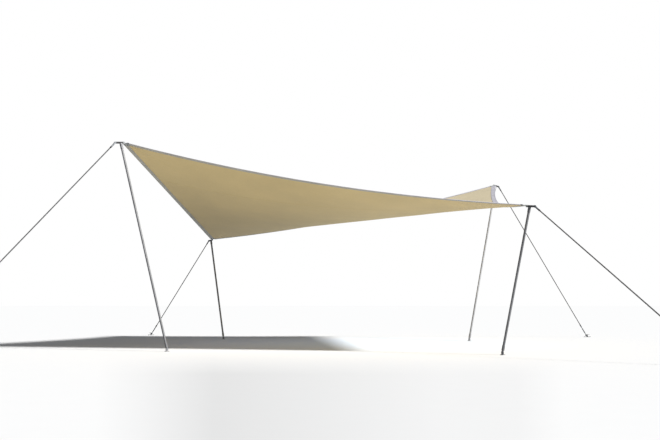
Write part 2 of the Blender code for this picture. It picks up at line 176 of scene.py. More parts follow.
PLAY = 0.0004  # between pieces that touch
TUBE_FIT = 0.0002  # between a mast and the bore around it
PLATE_CELL = 1 / 16  # side of the patch of sail that a corner plate's slant is taken from
PATCH_LIFT = 0.0008  # how far a corner patch stands off the cloth
SEAM_LIFT = 0.0006  # how far a seam's overlap stands off the cloth on each side
# A stitch: its places along itself, its rise at them, its half width and the share of its pitch
STITCH_PLACES = np.array((0.0, 0.22, 0.78, 1.0))
STITCH_RISE = np.array((-0.0003, 0.0009, 0.0009, -0.0003))
STITCH_SIDE = 0.0009
STITCH_SHARE = 0.68

# The stage, with places measured from the ground under the middle of the sail
KEY_WAY = (-1.225, 0.60, -1)  # the direction in which the key light shines
KEY_SPREAD = 7  # degrees across the key light as seen from the ground
SKY_COLOUR = (0.92, 0.96, 1.04, 1)
FILL_COLOUR = (0.15, 0.40, 1.0)
FILL_PLACE = (-1.4, 1.0, 1.6)
FILL_SIZE = (6, 7)
FLOOR_REACH = 600
SENSOR_WIDTH = 36  # millimetres
CLIP_END = 2000
# Where the floor's painted reflection starts, is full, falls off and ends: by bearing from the
# camera, for the whole sail and for its low corner, and by one over the distance
SAIL_BEARINGS = (-0.25, -0.20, 0.20, 0.25)
CORNER_BEARINGS = (-0.20, -0.125, -0.114, 0.12)
PAINTED_REFLECTION_REACH = (0.0505, 0.0745, 0.147, 0.185)
CORNER_SHARE = 0.66  # how much of its darkness is the low corner's
# Where the floor is painted cooler under the tent, to take the warm tint out of the shade there:
# painted light
PAINTED_COOL_CENTRE = (0.8, 1.5)
PAINTED_COOL_REACH = (6.0, 6.0)


def number(name, description, default, low=0, **options):
    return FloatProperty(name=name, description=description, default=default, min=low, **options)


def size(name, description, default):
    return number(name, description, default, precision=4, unit="LENGTH", subtype="DISTANCE")


def angle(name, description, default):
    return FloatProperty(name=name, description=description, default=default, subtype="ANGLE")


def colour(name, description, default):
    return FloatVectorProperty(
        name=name,
        description=description,
        default=default,
        min=0,
        max=1,
        size=3,
        subtype="COLOR",
    )


class SailSizes(PropertyGroup):
    edge_bow: size("Edge bow", "How far the middle of an edge is drawn in", 0.19)
    edge_sag: size("Edge sag", "How far the middle of an edge hangs under its straight line", 0.20)
    right_slack: size("Right slack", "How much further in and down the right edge lies", 0.05)
    centre_sag: size("Centre sag", "How far the middle lies under the mean corner height", 0.59)
    thickness: size("Fabric thickness", "Thickness of the canopy's cloth", 0.0016)
    crease: size("Crease height", "Height of the creases that run out from the corners", 0.004)
    ripple: size("Ripple height", "Height of the long soft ripples in the cloth", 0.003)
    seam_width: size("Seam width", "Width of the overlap where two lengths of cloth meet", 0.045)
    patch_reach: size("Patch reach", "How far a corner patch runs along the hems", 0.72)
    stitch_pitch: size("Stitch pitch", "Distance from one stitch to the next", 0.014)
    panels: IntProperty(
        name="Panels",
        description="Number of lengths of cloth that are joined into the canopy",
        default=4,
        min=1,
        max=8,
    )


class MastSizes(PropertyGroup):
    high_length: size("High mast", "Length of the two taller masts", 4.52)
    low_length: size("Low mast", "Length of the two shorter masts", 3.0)
    high_foot: size("High foot radius", "From the middle to a taller mast's foot", 4.59)
    low_foot: size("Low foot radius", "From the middle to a shorter mast's foot", 5.27)
    tube: size("Tube", "Outer diameter of a mast", 0.0483)
    wall: size("Wall", "Wall thickness of a mast", 0.0032)
    rope_radius: size("Rope radius", "Half the thickness of a guy rope", 0.013)
    lean: angle("Lean", "How far a mast leans outward from upright", math.radians(15))


class TentColours(PropertyGroup):
    underside: colour("Underside", "Canopy cloth as seen from below", (0.56, 0.43, 0.195))
    # The upper side is the same cloth made lighter and bluer: painted sheen
    upper_side: colour("Upper side", "Canopy cloth as seen from above", (0.667, 0.567, 0.362))
    hem: colour("Hem", "Webbing along the edges", (0.355, 0.34, 0.29))
    # The hem's upper side is the webbing made lighter and bluer: painted sheen from the sky
    hem_painted_sheen: colour("Hem from above", "Webbing along the edges, upper side", (0.53, 0.515, 0.58))
    thread: colour("Thread", "Sewing thread", (0.50, 0.50, 0.47))
    plate: colour("Corner plates", "Grey coated steel", (0.34, 0.355, 0.35))
    black: colour("Black steel", "Satin black coating", (0.02, 0.02, 0.022))
    tube: colour("Masts", "Galvanised tube", (0.46, 0.46, 0.465))
    rope: colour("Guy ropes", "Braided rope", (0.10, 0.10, 0.10))
    zinc: colour("Zinc", "Dull zinc plating on the tensioners and bolts", (0.22, 0.23, 0.24))


class StageSettings(PropertyGroup):
    camera: FloatVectorProperty(
        name="Camera",
        description="Place of the camera",
        default=(2.65, -22.472, 1.0),
        size=3,
        subtype="TRANSLATION",
        unit="LENGTH",
    )
    tilt: angle("Tilt", "How far the camera looks up", 0.091)
    turn: angle("Turn", "How far the camera is turned to the left", 0.125)
    lens: number("Lens", "Focal length in millimetres", 50.4, 1, subtype="DISTANCE_CAMERA")
    sun: number("Sun", "Strength of the key light", 5.1)
    sky: number("Sky", "Strength of the soft light from all sides", 0.185)
    fill: number("Fill", "Strength of the cool light on the floor", 14.0, unit="POWER")
    floor: colour("Floor", "Pale floor around the tent", (0.865, 0.862, 0.853))
    # A cooler floor colour under the tent that takes the warm tint out of the shade there: painted
    # light
    floor_painted_cool_tint: colour("Shaded floor", "Floor under the tent", (0.84, 0.91, 0.98))
    # How much the painted reflection darkens the floor
    mirror: number("Reflection", "How much it darkens the floor", 0.19, max=1, subtype="FACTOR")


class TentSettings(PropertyGroup):
    sail: PointerProperty(type=SailSizes, name="Sail", description="Sizes of the sail")
    mast: PointerProperty(type=MastSizes, name="Masts", description="Sizes of the masts")
    colours: PointerProperty(type=TentColours, name="Colours", description="Finishes")
    stage: PointerProperty(type=StageSettings, name="Stage", description="Camera and light")


def settings():
    return bpy.context.scene.stretch_tent


# Materials

class Finish:
    """A material that is built from shader nodes around its principled shader."""

    def __init__(self, name, roughness=0.5, metallic=0.0, specular=0.5):
        self.material = bpy.data.materials.new(f"tent_{name}")
        self.material.use_nodes = True
        self.tree = self.material.node_tree
        self.shader = self.tree.nodes["Principled BSDF"]
        self.set(Roughness=roughness, Metallic=metallic, Specular_IOR_Level=specular)

    def set(self, **values):
        for name, value in values.items():
            self.give(self.shader.inputs[name.replace("_", " ")], value)

    def give(self, socket, value):
        if isinstance(value, bpy.types.NodeSocket):
            self.tree.links.new(value, socket)
        else:
            socket.default_value = value

    def node(self, kind, inputs=None, **options):
        made = self.tree.nodes.new(f"ShaderNode{kind}")
        for name, value in options.items():
            setattr(made, name, value)
        for name, value in (inputs or {}).items():
            self.give(made.inputs[name], value)
        return made

    def place(self, name="Position"):
        """Where a point is: Position in the scene, Object in its piece, or Places on its surface."""
        if name == "Position":
            return self.node("NewGeometry").outputs["Position"]
        if name == "Object":
            return self.node("TexCoord").outputs["Object"]
        return self.node("UVMap", uv_map=name).outputs["UV"]

    def stretched(self, place, scale):
        return self.node("Mapping", {"Vector": place, "Scale": scale}).outputs["Vector"]

    def noise(self, place, scale, detail=3.0, roughness=0.55):
        values = {"Vector": place, "Scale": scale, "Detail": detail, "Roughness": roughness}
        return self.node("TexNoise", values).outputs["Fac"]

    def cells(self, place):
        """Cells a unit apart, each in a colour of its own."""
        return self.node("TexVoronoi", {"Vector": place, "Scale": 1}).outputs["Color"]

    def bands(self, place, period, direction):
        """Even ridges across one direction, a period in metres apart."""
        values = {"Vector": place, "Scale": math.tau / 20 / period}
        return self.node("TexWave", values, bands_direction=direction).outputs["Fac"]

    def remap(self, value, low, high, start=0.0, end=1.0):
        values = {"Value": value, "From Min": start, "From Max": end, "To Min": low, "To Max": high}
        return self.node("MapRange", values).outputs["Result"]

    def band(self, value, start, full, fall, end):
        """1 between full and fall, and 0 before start and past end."""
        return self.times(self.remap(value, 0, 1, start, full), self.remap(value, 1, 0, fall, end))

    def combine(self, one, other, operation):
        return self.node("Math", {0: one, 1: other}, operation=operation).outputs["Value"]

    def sum(self, one, other):
        return self.combine(one, other, "ADD")

    def times(self, one, other):
        return self.combine(one, other, "MULTIPLY")

    def grey(self, value):
        """A grey of that value, as a colour to multiply by."""
        values = {"Red": value, "Green": value, "Blue": value}
        return self.node("CombineColor", values).outputs["Color"]

    def mix(self, share, one, other, blend="MIX"):
        """A colour between two colours. Plain colours are given as three numbers."""
        made = self.node("Mix", data_type="RGBA", blend_type=blend)
        self.give(made.inputs[0], share)
        for socket, value in ((made.inputs[6], one), (made.inputs[7], other)):
            self.give(socket, value if isinstance(value, bpy.types.NodeSocket) else (*value, 1))
        return made.outputs[2]

    def worn(self, noise, base, dark, light, start=0.35, end=0.7):
        """The base colour, made from darker to lighter by a noise between two of its values."""
        return self.mix(self.remap(noise, 0, 1, start, end), shade(base, dark), shade(base, light))

    def tinted(self, colour, tone):
        """A colour made lighter or darker by a tone."""
        return self.mix(1.0, colour, self.grey(tone), "MULTIPLY")

    def bump(self, height, distance, strength):
        values = {"Height": height, "Distance": distance, "Strength": strength}
        made = self.node("Bump", values)
        self.give(self.shader.inputs["Normal"], made.outputs["Normal"])


def shade(base, factor):
    return tuple(min(1.0, channel * factor) for channel in base)


def cloth_finish(name, base):
    """Plain-woven cloth: slubs along both yarns, soft cloudy patches and a fine weave."""
    finish = Finish(name, specular=0.25)
    places = finish.place("Places")
    warp = finish.noise(finish.stretched(places, (260, 9, 1)), 1, 3)
    weft = finish.noise(finish.stretched(places, (9, 260, 1)), 1, 3)
    yarns = finish.times(warp, weft)
    cloud = finish.noise(finish.place(), 0.8, 4)
    worn = finish.worn(cloud, base, 0.95, 1.04)
    tone = finish.remap(yarns, 0.90, 1.10, 0.12, 0.42)
    finish.set(Base_Color=finish.tinted(worn, tone), Roughness=finish.remap(cloud, 0.72, 0.86))
    finish.set(Sheen_Weight=0.12, Sheen_Roughness=0.5)
    weave = finish.sum(finish.bands(places, 0.0022, "X"), finish.bands(places, 0.0022, "Y"))
    finish.bump(finish.sum(weave, finish.times(yarns, 2.0)), 0.0003, 0.5)
    return finish.material


def webbing_finish(name, base):
    """Woven webbing: ribs across its length, with faint soiling."""
    finish = Finish(name, specular=0.3)
    places = finish.place("Places")
    ribs = finish.bands(places, 0.003, "X")
    twill = finish.bands(finish.stretched(places, (1, 1.6, 1)), 0.0045, "DIAGONAL")
    soil = finish.noise(finish.place(), 3.5, 5)
    worn = finish.worn(soil, base, 0.90, 1.08)
    tone = finish.remap(finish.sum(ribs, twill), 0.90, 1.08, 0, 2)
    finish.set(Base_Color=finish.tinted(worn, tone), Roughness=finish.remap(soil, 0.55, 0.75))
    finish.set(Sheen_Weight=0.2)
    finish.bump(finish.sum(ribs, twill), 0.0004, 0.6)
    return finish.material


def thread_finish(name, base):
    """Twisted sewing thread."""
    finish = Finish(name, specular=0.35)
    twist = finish.bands(finish.place(), 0.0011, "DIAGONAL")
    finish.set(Base_Color=finish.mix(twist, shade(base, 0.8), shade(base, 1.1)))
    finish.set(Roughness=finish.remap(twist, 0.5, 0.65))
    return finish.material


def coated_finish(name, base, dust_colour, scuff, roughness):
    """Powder-coated steel: fine orange peel, dust, and bare rubbed spots on its edges."""
    finish = Finish(name, specular=0.45)
    place = finish.place()
    dust = finish.noise(place, 14, 6, 0.65)
    fine = finish.noise(place, 170, 3, 0.6)
    dusty = finish.mix(finish.remap(dust, 0, 0.32, 0.4, 0.75), base, dust_colour)
    speckled = finish.mix(finish.remap(fine, 0, 0.18, 0.52, 0.72), dusty, dust_colour)
    edge = finish.node("NewGeometry").outputs["Pointiness"]
    rubbed = finish.times(finish.remap(edge, 0, 1, 0.53, 0.62), finish.noise(place, 60, 4))
    finish.set(Base_Color=finish.mix(finish.remap(rubbed, 0, 0.9, 0.22, 0.45), speckled, scuff))
    finish.set(Roughness=finish.remap(dust, roughness - 0.10, roughness + 0.16, 0.35, 0.7))
    finish.bump(finish.sum(finish.noise(place, 420, 2), fine), 0.0003, 0.45)
    return finish.material


def galvanised_finish(name, base):
    """Galvanised tube: spangles drawn out along the tube, streaks and cloudy patches."""
    finish = Finish(name, metallic=1.0, specular=0.5)
    place = finish.place("Object")
    spangle = finish.cells(finish.stretched(place, (130, 130, 80)))
    flake = finish.node("SeparateColor", {"Color": spangle}).outputs["Red"]
    streak = finish.noise(finish.stretched(place, (90, 90, 1.6)), 1, 4)
    cloudy = finish.noise(finish.place(), 2.2, 4)
    streaked = finish.remap(streak, 0.84, 1.14, 0.3, 0.7)
    tone = finish.times(finish.remap(flake, 0.88, 1.14), streaked)
    finish.set(Base_Color=finish.tinted(finish.worn(cloudy, base, 0.86, 1.12), tone))
    rough = finish.sum(finish.remap(flake, 0.0, 0.08), finish.remap(streak, 0.56, 0.66, 0.3, 0.7))
    finish.set(Roughness=rough)
    finish.bump(finish.sum(flake, streak), 0.0002, 0.25)
    return finish.material


def zinc_finish(name, base):
    """Dull zinc plating: cloudy, with fine turning marks."""
    finish = Finish(name, metallic=0.7)
    place = finish.place("Object")
    cloudy = finish.noise(place, 35, 5, 0.6)
    marks = finish.noise(finish.stretched(place, (1400, 60, 60)), 1, 2)
    finish.set(Base_Color=finish.worn(cloudy, base, 0.6, 1.5, 0.32, 0.68))
    finish.set(Roughness=finish.remap(finish.sum(cloudy, marks), 0.32, 0.60, 0.6, 1.4))
    finish.bump(marks, 0.0001, 0.3)
    return finish.material


def rope_finish(name, base):
    """Braided rope: yarns along each strand, painted shade in the dark bands between them, and dirt.
    """
    finish = Finish(name, specular=0.3)
    places = finish.place("Places")
    yarns = finish.bands(finish.stretched(places, (0.35, 1, 1)), 0.0011, "DIAGONAL")
    dirt = finish.noise(finish.place(), 9, 5, 0.6)
    dirty = finish.worn(dirt, base, 0.8, 1.2, 0.3, 0.75)
    # The bands between the yarns are darkened toward black: painted shade
    finish.set(Base_Color=finish.mix(yarns, finish.mix(0.35, dirty, (0, 0, 0)), dirty))
    finish.set(Roughness=finish.remap(dirt, 0.62, 0.82), Sheen_Weight=0.15)
    finish.bump(yarns, 0.0003, 0.7)
    return finish.material


def rubber_finish(name, base):
    """Black rubber with a little dust."""
    finish = Finish(name, specular=0.35)
    dust = finish.noise(finish.place(), 60, 5)
    finish.set(Base_Color=finish.mix(finish.remap(dust, 0, 0.5, 0.4, 0.8), base, shade(base, 3)))
    finish.set(Roughness=finish.remap(dust, 0.6, 0.8))
    return finish.material


def oval(finish, place, centre, reach):
    """1 at the centre of an oval and 0 outside it, with a soft fall between."""
    away = (-centre[0], -centre[1], 0)
    moved = finish.node("Mapping", {"Vector": place, "Location": away}).outputs["Vector"]
    squeezed = finish.stretched(moved, (1 / reach[0], 1 / reach[1], 1))
    distance = finish.node("VectorMath", {0: squeezed}, operation="LENGTH").outputs["Value"]
    values = {"Value": distance, "From Min": 1.0, "From Max": 0.1}
    fade = finish.node("MapRange", values, interpolation_type="SMOOTHERSTEP")
    return fade.outputs["Result"]


def painted_floor_reflection(finish, place, spot, turn):
    """A painted reflection, the faint grey that a polished floor would show before the tent, as seen
    from a spot on the floor: 0 outside it and 1 at its darkest. The bearing is the distance to the
    side over the distance ahead, and the nearness is one over the distance ahead."""
    away = (-spot[0], -spot[1], 0)
    moved = finish.node("Mapping", {"Vector": place, "Location": away}).outputs["Vector"]
    turned = finish.node("Mapping", {"Vector": moved, "Rotation": (0, 0, -turn)}).outputs["Vector"]
    parts = finish.node("SeparateXYZ", {"Vector": turned}).outputs
    bearing = finish.combine(parts["X"], parts["Y"], "DIVIDE")
    nearness = finish.combine(1.0, parts["Y"], "DIVIDE")
    sail = finish.times(finish.band(bearing, *SAIL_BEARINGS), 1 - CORNER_SHARE)
    low_corner = finish.times(finish.band(bearing, *CORNER_BEARINGS), CORNER_SHARE)
    reach = finish.band(nearness, *PAINTED_REFLECTION_REACH)
    return finish.times(finish.sum(sail, low_corner), reach)


def floor_finish(name, base, mirror, painted_cool_tint):
    """A pale studio floor: a painted reflection before the tent, a painted cool tint under it, a
    faint grain.
    """
    finish = Finish(name, roughness=0.8, specular=0.0)
    place = finish.place()
    stage = settings().stage
    # Cooler colour painted under the tent, against the warm tint in the shade
    cooled = finish.mix(oval(finish, place, PAINTED_COOL_CENTRE, PAINTED_COOL_REACH), base, painted_cool_tint)
    grain = finish.remap(finish.noise(place, 2.5, 5), 0.99, 1.01)
    # The tent's reflection, painted into the floor's colour as seen from the camera
    reflection = painted_floor_reflection(finish, place, stage.camera, stage.turn)
    tone = finish.times(grain, finish.remap(reflection, 1, 1 - mirror))
    finish.set(Base_Color=finish.tinted(cooled, tone))
    return finish.material


GREY_DUST = (0.42, 0.42, 0.40)
DARK_DUST = (0.070, 0.067, 0.060)
RUBBED_GREY = (0.54, 0.55, 0.56)
RUBBED_BLACK = (0.22, 0.22, 0.22)
RUBBER_COLOUR = (0.018, 0.018, 0.018)


def finish_library():
    """Makes each finish once. The frame's own materials have names without the prefix."""
    colours = settings().colours
    makers = {
        "cloth_underside": (cloth_finish, colours.underside),
        # The cloth's upper side is a lighter, bluer copy of it: painted sheen
        "cloth_upper_side": (cloth_finish, colours.upper_side),
        "hem_webbing": (webbing_finish, colours.hem),
        "hem_webbing_upper": (webbing_finish, colours.hem_painted_sheen),
        "sewing_thread": (thread_finish, colours.thread),
        "plate_steel": (coated_finish, colours.plate, GREY_DUST, RUBBED_GREY, 0.46),
        "black_steel": (coated_finish, colours.black, DARK_DUST, RUBBED_BLACK, 0.40),
        "galvanised_tube": (galvanised_finish, colours.tube),
        "guy_rope": (rope_finish, colours.rope),
        "dull_zinc": (zinc_finish, colours.zinc),
        "black_rubber": (rubber_finish, RUBBER_COLOUR),
    }
    for name, (maker, base, *rest) in makers.items():
        if f"tent_{name}" not in bpy.data.materials:
            maker(name, tuple(base), *rest)


# Building meshes

BEAD_STEP = 0.0012  # distance between the rings of a weld bead
BEAD_DROP = 0.0042  # length of each drop of weld
ROUND_STEPS = [k / 5 for k in range(6)]  # places along a rounded corner
SAME_PLACE = 0.000001  # a line that is shorter has no length
MERGE = 0.000002  # points this close are made one
WASHER = 0.0012  # thickness of a bolt's washer
BOLT_RISE = 0.95  # height of a bolt's head or nut, in radii of the bolt


def lengths_along(points):
    """How far each point lies from the first, along the line through them."""
    return np.concatenate([[0], np.linalg.norm(np.diff(points, axis=0), axis=1).cumsum()])


def grid_quads(rows, columns, closed=False):
    """The corners of each quad in a grid whose points are numbered row by row. In a closed grid
    the end of each row is joined to its start."""
    k, j = np.meshgrid(np.arange(rows - 1), np.arange(columns - 1 + closed), indexing="ij")
    quad = ((0, 0), (0, 1), (1, 1), (1, 0))
    points = [(k + a) * columns + (j + b) % columns for a, b in quad]
    return np.stack(points, -1).reshape(-1, 4)


class Form:
    """The points and faces of one piece. Every face has a finish's number and its places on the
    surface, which are metres along and across it."""

    def __init__(self):
        self.points, self.faces, self.finishes, self.places = [], [], [], []
        self.count = 0

    def add(self, points, faces, places=None, finish=0, at=IDENTITY):
        points = np.asarray(points, float)
        turn = np.array(at)
        self.points.append(points @ turn[:3, :3].T + turn[:3, 3])
        if places is None:
            places = [points[k][:2] for face in faces for k in face]
        self.places.append(np.asarray(places, float).reshape(-1, 2))
        self.faces += [[self.count + k for k in face] for face in faces]
        self.finishes += [finish] * len(faces)
        self.count += len(points)

    def add_net(self, rows, closed=False, capped=False, finish=0, at=IDENTITY):
        """Quads over rows of points. A closed net joins the two ends of each row."""
        rows = np.asarray(rows, float)
        count, width = rows.shape[:2]
        along = lengths_along(rows.mean(axis=1))
        if along[-1] < SAME_PLACE:
            along = lengths_along(rows[:, 0])
        ring = rows[count // 2]
        if closed:
            ring = np.concatenate([ring, ring[:1]])
        flat = np.meshgrid(along, lengths_along(ring), indexing="ij")
        flat = np.stack(flat, -1).reshape(-1, 2)
        places = flat[grid_quads(count, len(ring))].reshape(-1, 2)
        faces = grid_quads(count, width, closed).tolist()
        if capped:
            last = (count - 1) * width
            faces += [list(range(width)), list(range(last, last + width))]
            places = np.concatenate([places, np.zeros((2 * width, 2))])
        self.add(rows.reshape(-1, 3), faces, places, finish, at)

    def add_cloth(self, points, places, finish=0):
        """Quads over a grid of points, with each point's place on the flat cloth."""
        quads = grid_quads(*points.shape[:2])
        self.add(points.reshape(-1, 3), quads.tolist(), places.reshape(-1, 2)[quads], finish)

    def add_turning(self, profile, finish=0, at=IDENTITY, sides=40):
        """A round solid about Z. The profile is a list of (place along the axis, radius)."""
        turns = np.arange(sides) * math.tau / sides
        profile = np.asarray(profile, float)
        rows = np.empty((len(profile), sides, 3))
        rows[..., 0] = profile[:, 1:] * np.cos(turns)
        rows[..., 1] = profile[:, 1:] * np.sin(turns)
        rows[..., 2] = profile[:, :1]
        self.add_net(rows, closed=True, finish=finish, at=at)

    def add_plate(self, outline, low, high, holes=(), edge=0.0008, finish=0, at=IDENTITY):
        """A plate in X and Y between two levels, with eased edges. Outlines run anticlockwise."""
        loops = [np.asarray(outline, float)] + [np.asarray(hole, float)[::-1] for hole in holes]
        inner = []
        for loop in loops:
            before = loop - np.roll(loop, 1, axis=0)
            after = np.roll(loop, -1, axis=0) - loop
            left = [np.stack([-step[:, 1], step[:, 0]], -1) for step in (before, after)]
            left = [side / np.linalg.norm(side, axis=1, keepdims=True) for side in left]
            mean = left[0] + left[1]
            mean *= 2 / np.maximum((mean**2).sum(axis=1, keepdims=True), 0.4)
            inner.append(loop + edge * mean)
            levels = ((inner[-1], low), (loop, low + edge), (loop, high - edge), (inner[-1], high))
            rows = [np.insert(line, 2, level, axis=1) for line, level in levels]
            self.add_net(rows, closed=True, finish=finish, at=at)
        flat = [[Vector((x, y, 0)) for x, y in loop] for loop in inner]
        faces = [list(face) for face in tessellate_polygon(flat)]
        for level in (low, high):
            points = [(point.x, point.y, level) for loop in flat for point in loop]
            self.add(points, faces, finish=finish, at=at)

    def add_swept(self, path, normals, section, at=IDENTITY, capped=False):
        """A closed section carried along a path. Its X follows the normals given for the path."""
        path, normals, section = (np.asarray(item, float) for item in (path, normals, section))
        ahead = np.gradient(path, axis=0)
        ahead /= np.linalg.norm(ahead, axis=1, keepdims=True)
        normals = normals - (normals * ahead).sum(axis=1, keepdims=True) * ahead
        normals /= np.linalg.norm(normals, axis=1, keepdims=True)
        across = np.cross(ahead, normals)
        rows = path[:, None] + section[..., 0:1] * normals[:, None]
        rows = rows + section[..., 1:2] * across[:, None]
        self.add_net(rows, True, capped, at=at)

    def add_bead(self, path, normals, radius, at=IDENTITY):
        """A weld bead along a path, with a ripple for each drop of weld."""
        path, normals = np.asarray(path, float), np.asarray(normals, float)
        places = lengths_along(path)
        marks = np.linspace(0, places[-1], max(8, int(places[-1] / BEAD_STEP)))
        points = [np.interp(marks, places, path[:, k]) for k in range(3)]
        ways = [np.interp(marks, places, normals[:, k]) for k in range(3)]
        swell = 1 + 0.10 * np.cos(marks * math.tau / BEAD_DROP)
        turns = np.arange(7) * math.tau / 7
        ring = np.stack([np.cos(turns), np.sin(turns)], -1)
        section = radius * swell[:, None, None] * ring
        self.add_swept(np.stack(points, -1), np.stack(ways, -1), section, at)

    def add_bolt(self, low, high, radius, head, finish, at=IDENTITY):
        """A bolt along Z, with its head above `high` and its nut and thread end under `low`."""
        washer = head * 1.2
        for level, way in ((high, 1), (low, -1)):
            top = level + way * WASHER
            ring = [(level, radius), (level, washer), (top, washer), (top, radius)]
            self.add_turning(ring, finish, at, 28)
            rise = top + way * radius * BOLT_RISE
            bevel = [(top, 0), (top, head * 0.95), (top + way * 0.0004, head)]
            bevel += [(rise - way * 0.0008, head), (rise, head * 0.84), (rise, 0)]
            self.add_turning(bevel, finish, at, 6)
        self.add_turning([(low, 0), (low, radius), (high, radius), (high, 0)], finish, at, 20)
        end = low - WASHER - radius * BOLT_RISE
        self.add_turning(thread(end - 0.004, end + 0.001, radius * 0.95, 0.00125), finish, at, 20)

    def add_ridges(self, nets, finish):
        """Many small ridges, such as stitches: each is a net of four places by three points."""
        count, rows, columns = nets.shape[:3]
        quads = grid_quads(rows, columns) + rows * columns * np.arange(count)[:, None, None]
        self.add(nets.reshape(-1, 3), quads.reshape(-1, 4).tolist(), finish=finish)

    def make(self, name, slot_name, nodes, finishes, sharp=35):
        """The finished piece, in the place of the frame's nodes."""
        mesh = bpy.data.meshes.new(name)
        mesh.from_pydata(np.concatenate(self.points).tolist(), [], self.faces)
        for finish in finishes:
            mesh.materials.append(bpy.data.materials[f"tent_{finish}"])
        mesh.polygons.foreach_set("material_index", self.finishes)
        layer = mesh.uv_layers.new(name="Places")
        layer.uv.foreach_set("vector", np.concatenate(self.places).ravel())
        work = bmesh.new()
        work.from_mesh(mesh)
        bmesh.ops.remove_doubles(work, verts=work.verts, dist=MERGE)
        bmesh.ops.recalc_face_normals(work, faces=work.faces)
        work.to_mesh(mesh)
        work.free()
        mesh.shade_smooth()
        mesh.set_sharp_from_angle(angle=math.radians(sharp))
        return place_piece(name, mesh, nodes)


def add_object(name, data):
    item = bpy.data.objects.new(name, data)
    bpy.context.scene.collection.objects.link(item)
    return item


def place_piece(name, mesh, nodes, matrix=IDENTITY):
    item = add_object(name, mesh)
    item.matrix_world = matrix
    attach(item, "root")
    if nodes:
        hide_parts(*nodes)
    return item


def thread(start, end, radius, pitch):
    """The profile of a threaded bar with closed ends."""
    count = max(2, int((end - start) / pitch))
    root = radius * 0.86
    profile = [(start, 0), (start, root)]
    for k in range(count):
        middle = start + (k + 0.5) * (end - start) / count
        profile += [(middle, radius), (start + (k + 1) * (end - start) / count, root)]
    return [*profile, (end, 0)]


def repeated(levels, stretch):
    """The same stretch of a profile at each of some levels."""
    return [(level + step, radius) for level in levels for step, radius in stretch]


def arc(centre, radius, start, end, steps):
    """Points on a circle in a plane, angles in degrees."""
    turns = np.radians(np.linspace(start, end, steps + 1))
    return np.stack([centre[0] + radius * np.cos(turns), centre[1] + radius * np.sin(turns)], -1)


def circle(centre, radius):
    """An anticlockwise outline of a round hole."""
    return arc(centre, radius, 0, 360, 24)[:-1]


def rounded(outline, radius):
    """An anticlockwise outline with its corners rounded."""
    outline = [Vector(point) for point in outline]
    made = []
    for before, corner, after in zip(outline[-1:] + outline, outline, outline[1:] + outline[:1]):
        back, ahead = (before - corner), (after - corner)
        half = back.angle(ahead) / 2
        cut = min(radius / math.tan(half), 0.45 * min(back.length, ahead.length))
        start, end = corner + cut * back.normalized(), corner + cut * ahead.normalized()
        for t in ROUND_STEPS:
            made.append((1 - t) ** 2 * start + 2 * t * (1 - t) * corner + t**2 * end)
    return made


def rectangle(low, high):
    return [low, (high[0], low[1]), high, (low[0], high[1])]


def tongue(at, end, radius, half_width):
    """An anticlockwise outline of a bar with a round end about `at` and a square end at `end`."""
    at, end = Vector(at), Vector(end)
    ahead = (at - end).normalized()
    side = Vector((-ahead.y, ahead.x))
    turns = [math.pi * (k / 20 - 0.5) for k in range(21)]
    ring = [at + radius * (math.cos(t) * ahead + math.sin(t) * side) for t in turns]
    return [*ring, end + half_width * side, end - half_width * side]


# Places on the masts and guys

def mast_length(kind):
    """From the ground to the head plate's middle line, along the mast."""
    mast = settings().mast
    return mast.high_length if kind == "high" else mast.low_length


def foot_radius(kind):
    mast = settings().mast
    return mast.high_foot if kind == "high" else mast.low_foot


def mast_frame(kind):
    """From the mast's own frame (Z along the mast) to its corner's frame (X outward)."""
    lean = Matrix.Rotation(settings().mast.lean, 4, "Y")
    return Matrix.Translation((foot_radius(kind), 0, 0)) @ lean


def head_place(length, across):
    """A place on the head plate's middle line, in the mast's frame."""
    turn = math.radians(HEAD_TURN)
    return Vector((across * math.cos(turn), length + across * math.sin(turn)))


def head_point(kind, across):
    """A place on the head plate's middle line, in its corner's frame."""
    x, z = head_place(mast_length(kind), across)
    return mast_frame(kind) @ Vector((x, 0, z))


def guy_frame(kind):
    """From the guy's own frame (X from the anchor's eye to the head) to its corner's frame."""
    eye = Vector((EYE_RADIUS, 0, EYE_HEIGHT))
    line = head_point(kind, HEAD_OUTER) - eye
    pitch = math.atan2(line.z, line.x)
    return Matrix.Translation(eye) @ Matrix.Rotation(-pitch, 4, "Y"), line.length


def corner_turn(corner):
    return Matrix.Rotation(math.radians(CORNERS[corner][1]), 4, "Z")


def corners_of(kind):
    return [name for name, (one, _) in CORNERS.items() if one == kind]


# The sail's surface

# Finishes of the cloth: its upper side with painted sheen, its underside and the thread
CLOTH_FINISHES = ["cloth_upper_side", "cloth_underside", "sewing_thread"]
LINES_ACROSS, LINES_ALONG = 176, 170  # grid lines in the cloth
CROWDING = 0.45  # how much closer together they lie near the hems
CREASE_START = 0.35  # from a corner to where its creases are at their full height
CREASE_RIDGES = 19
CREASE_TURNS = (0.3, 1.1, 2.3, 3.7)  # where the ridges start, at each corner
RIM_SHARE = 1 / 14  # how near to an edge the cloth starts to lie flat, as a share
# Each ripple: how fast it turns along the sail and across it, and where it starts
RIPPLES = ((2.6, 1.3, 0.8), (-1.7, 3.1, 2.0), (4.1, 0.9, 0.0))
SEAM_LIP = 0.0002  # width of the step beside a seam
SEAM_ROOM = 1.25  # how far from a seam the other grid lines stay, in half widths of the seam
STITCH_MARGIN = 0.02  # from a hem's end to its first stitch


def arch(t):
    """1 in the middle of an edge and 0 at its ends."""
    return 4 * t * (1 - t)


def inward(start, end):
    """The level direction into the sail, square to an edge."""
    along = end - start
    way = np.array((-along[1], along[0], 0))
    return way / np.linalg.norm(way)


def sail_tips():
    tips = {}
    for corner, (kind, _) in CORNERS.items():
        tip = head_point(kind, 0) + Vector((0, 0, TIP_RISE[kind]))
        tips[corner] = np.array(corner_turn(corner) @ tip)
    return tips


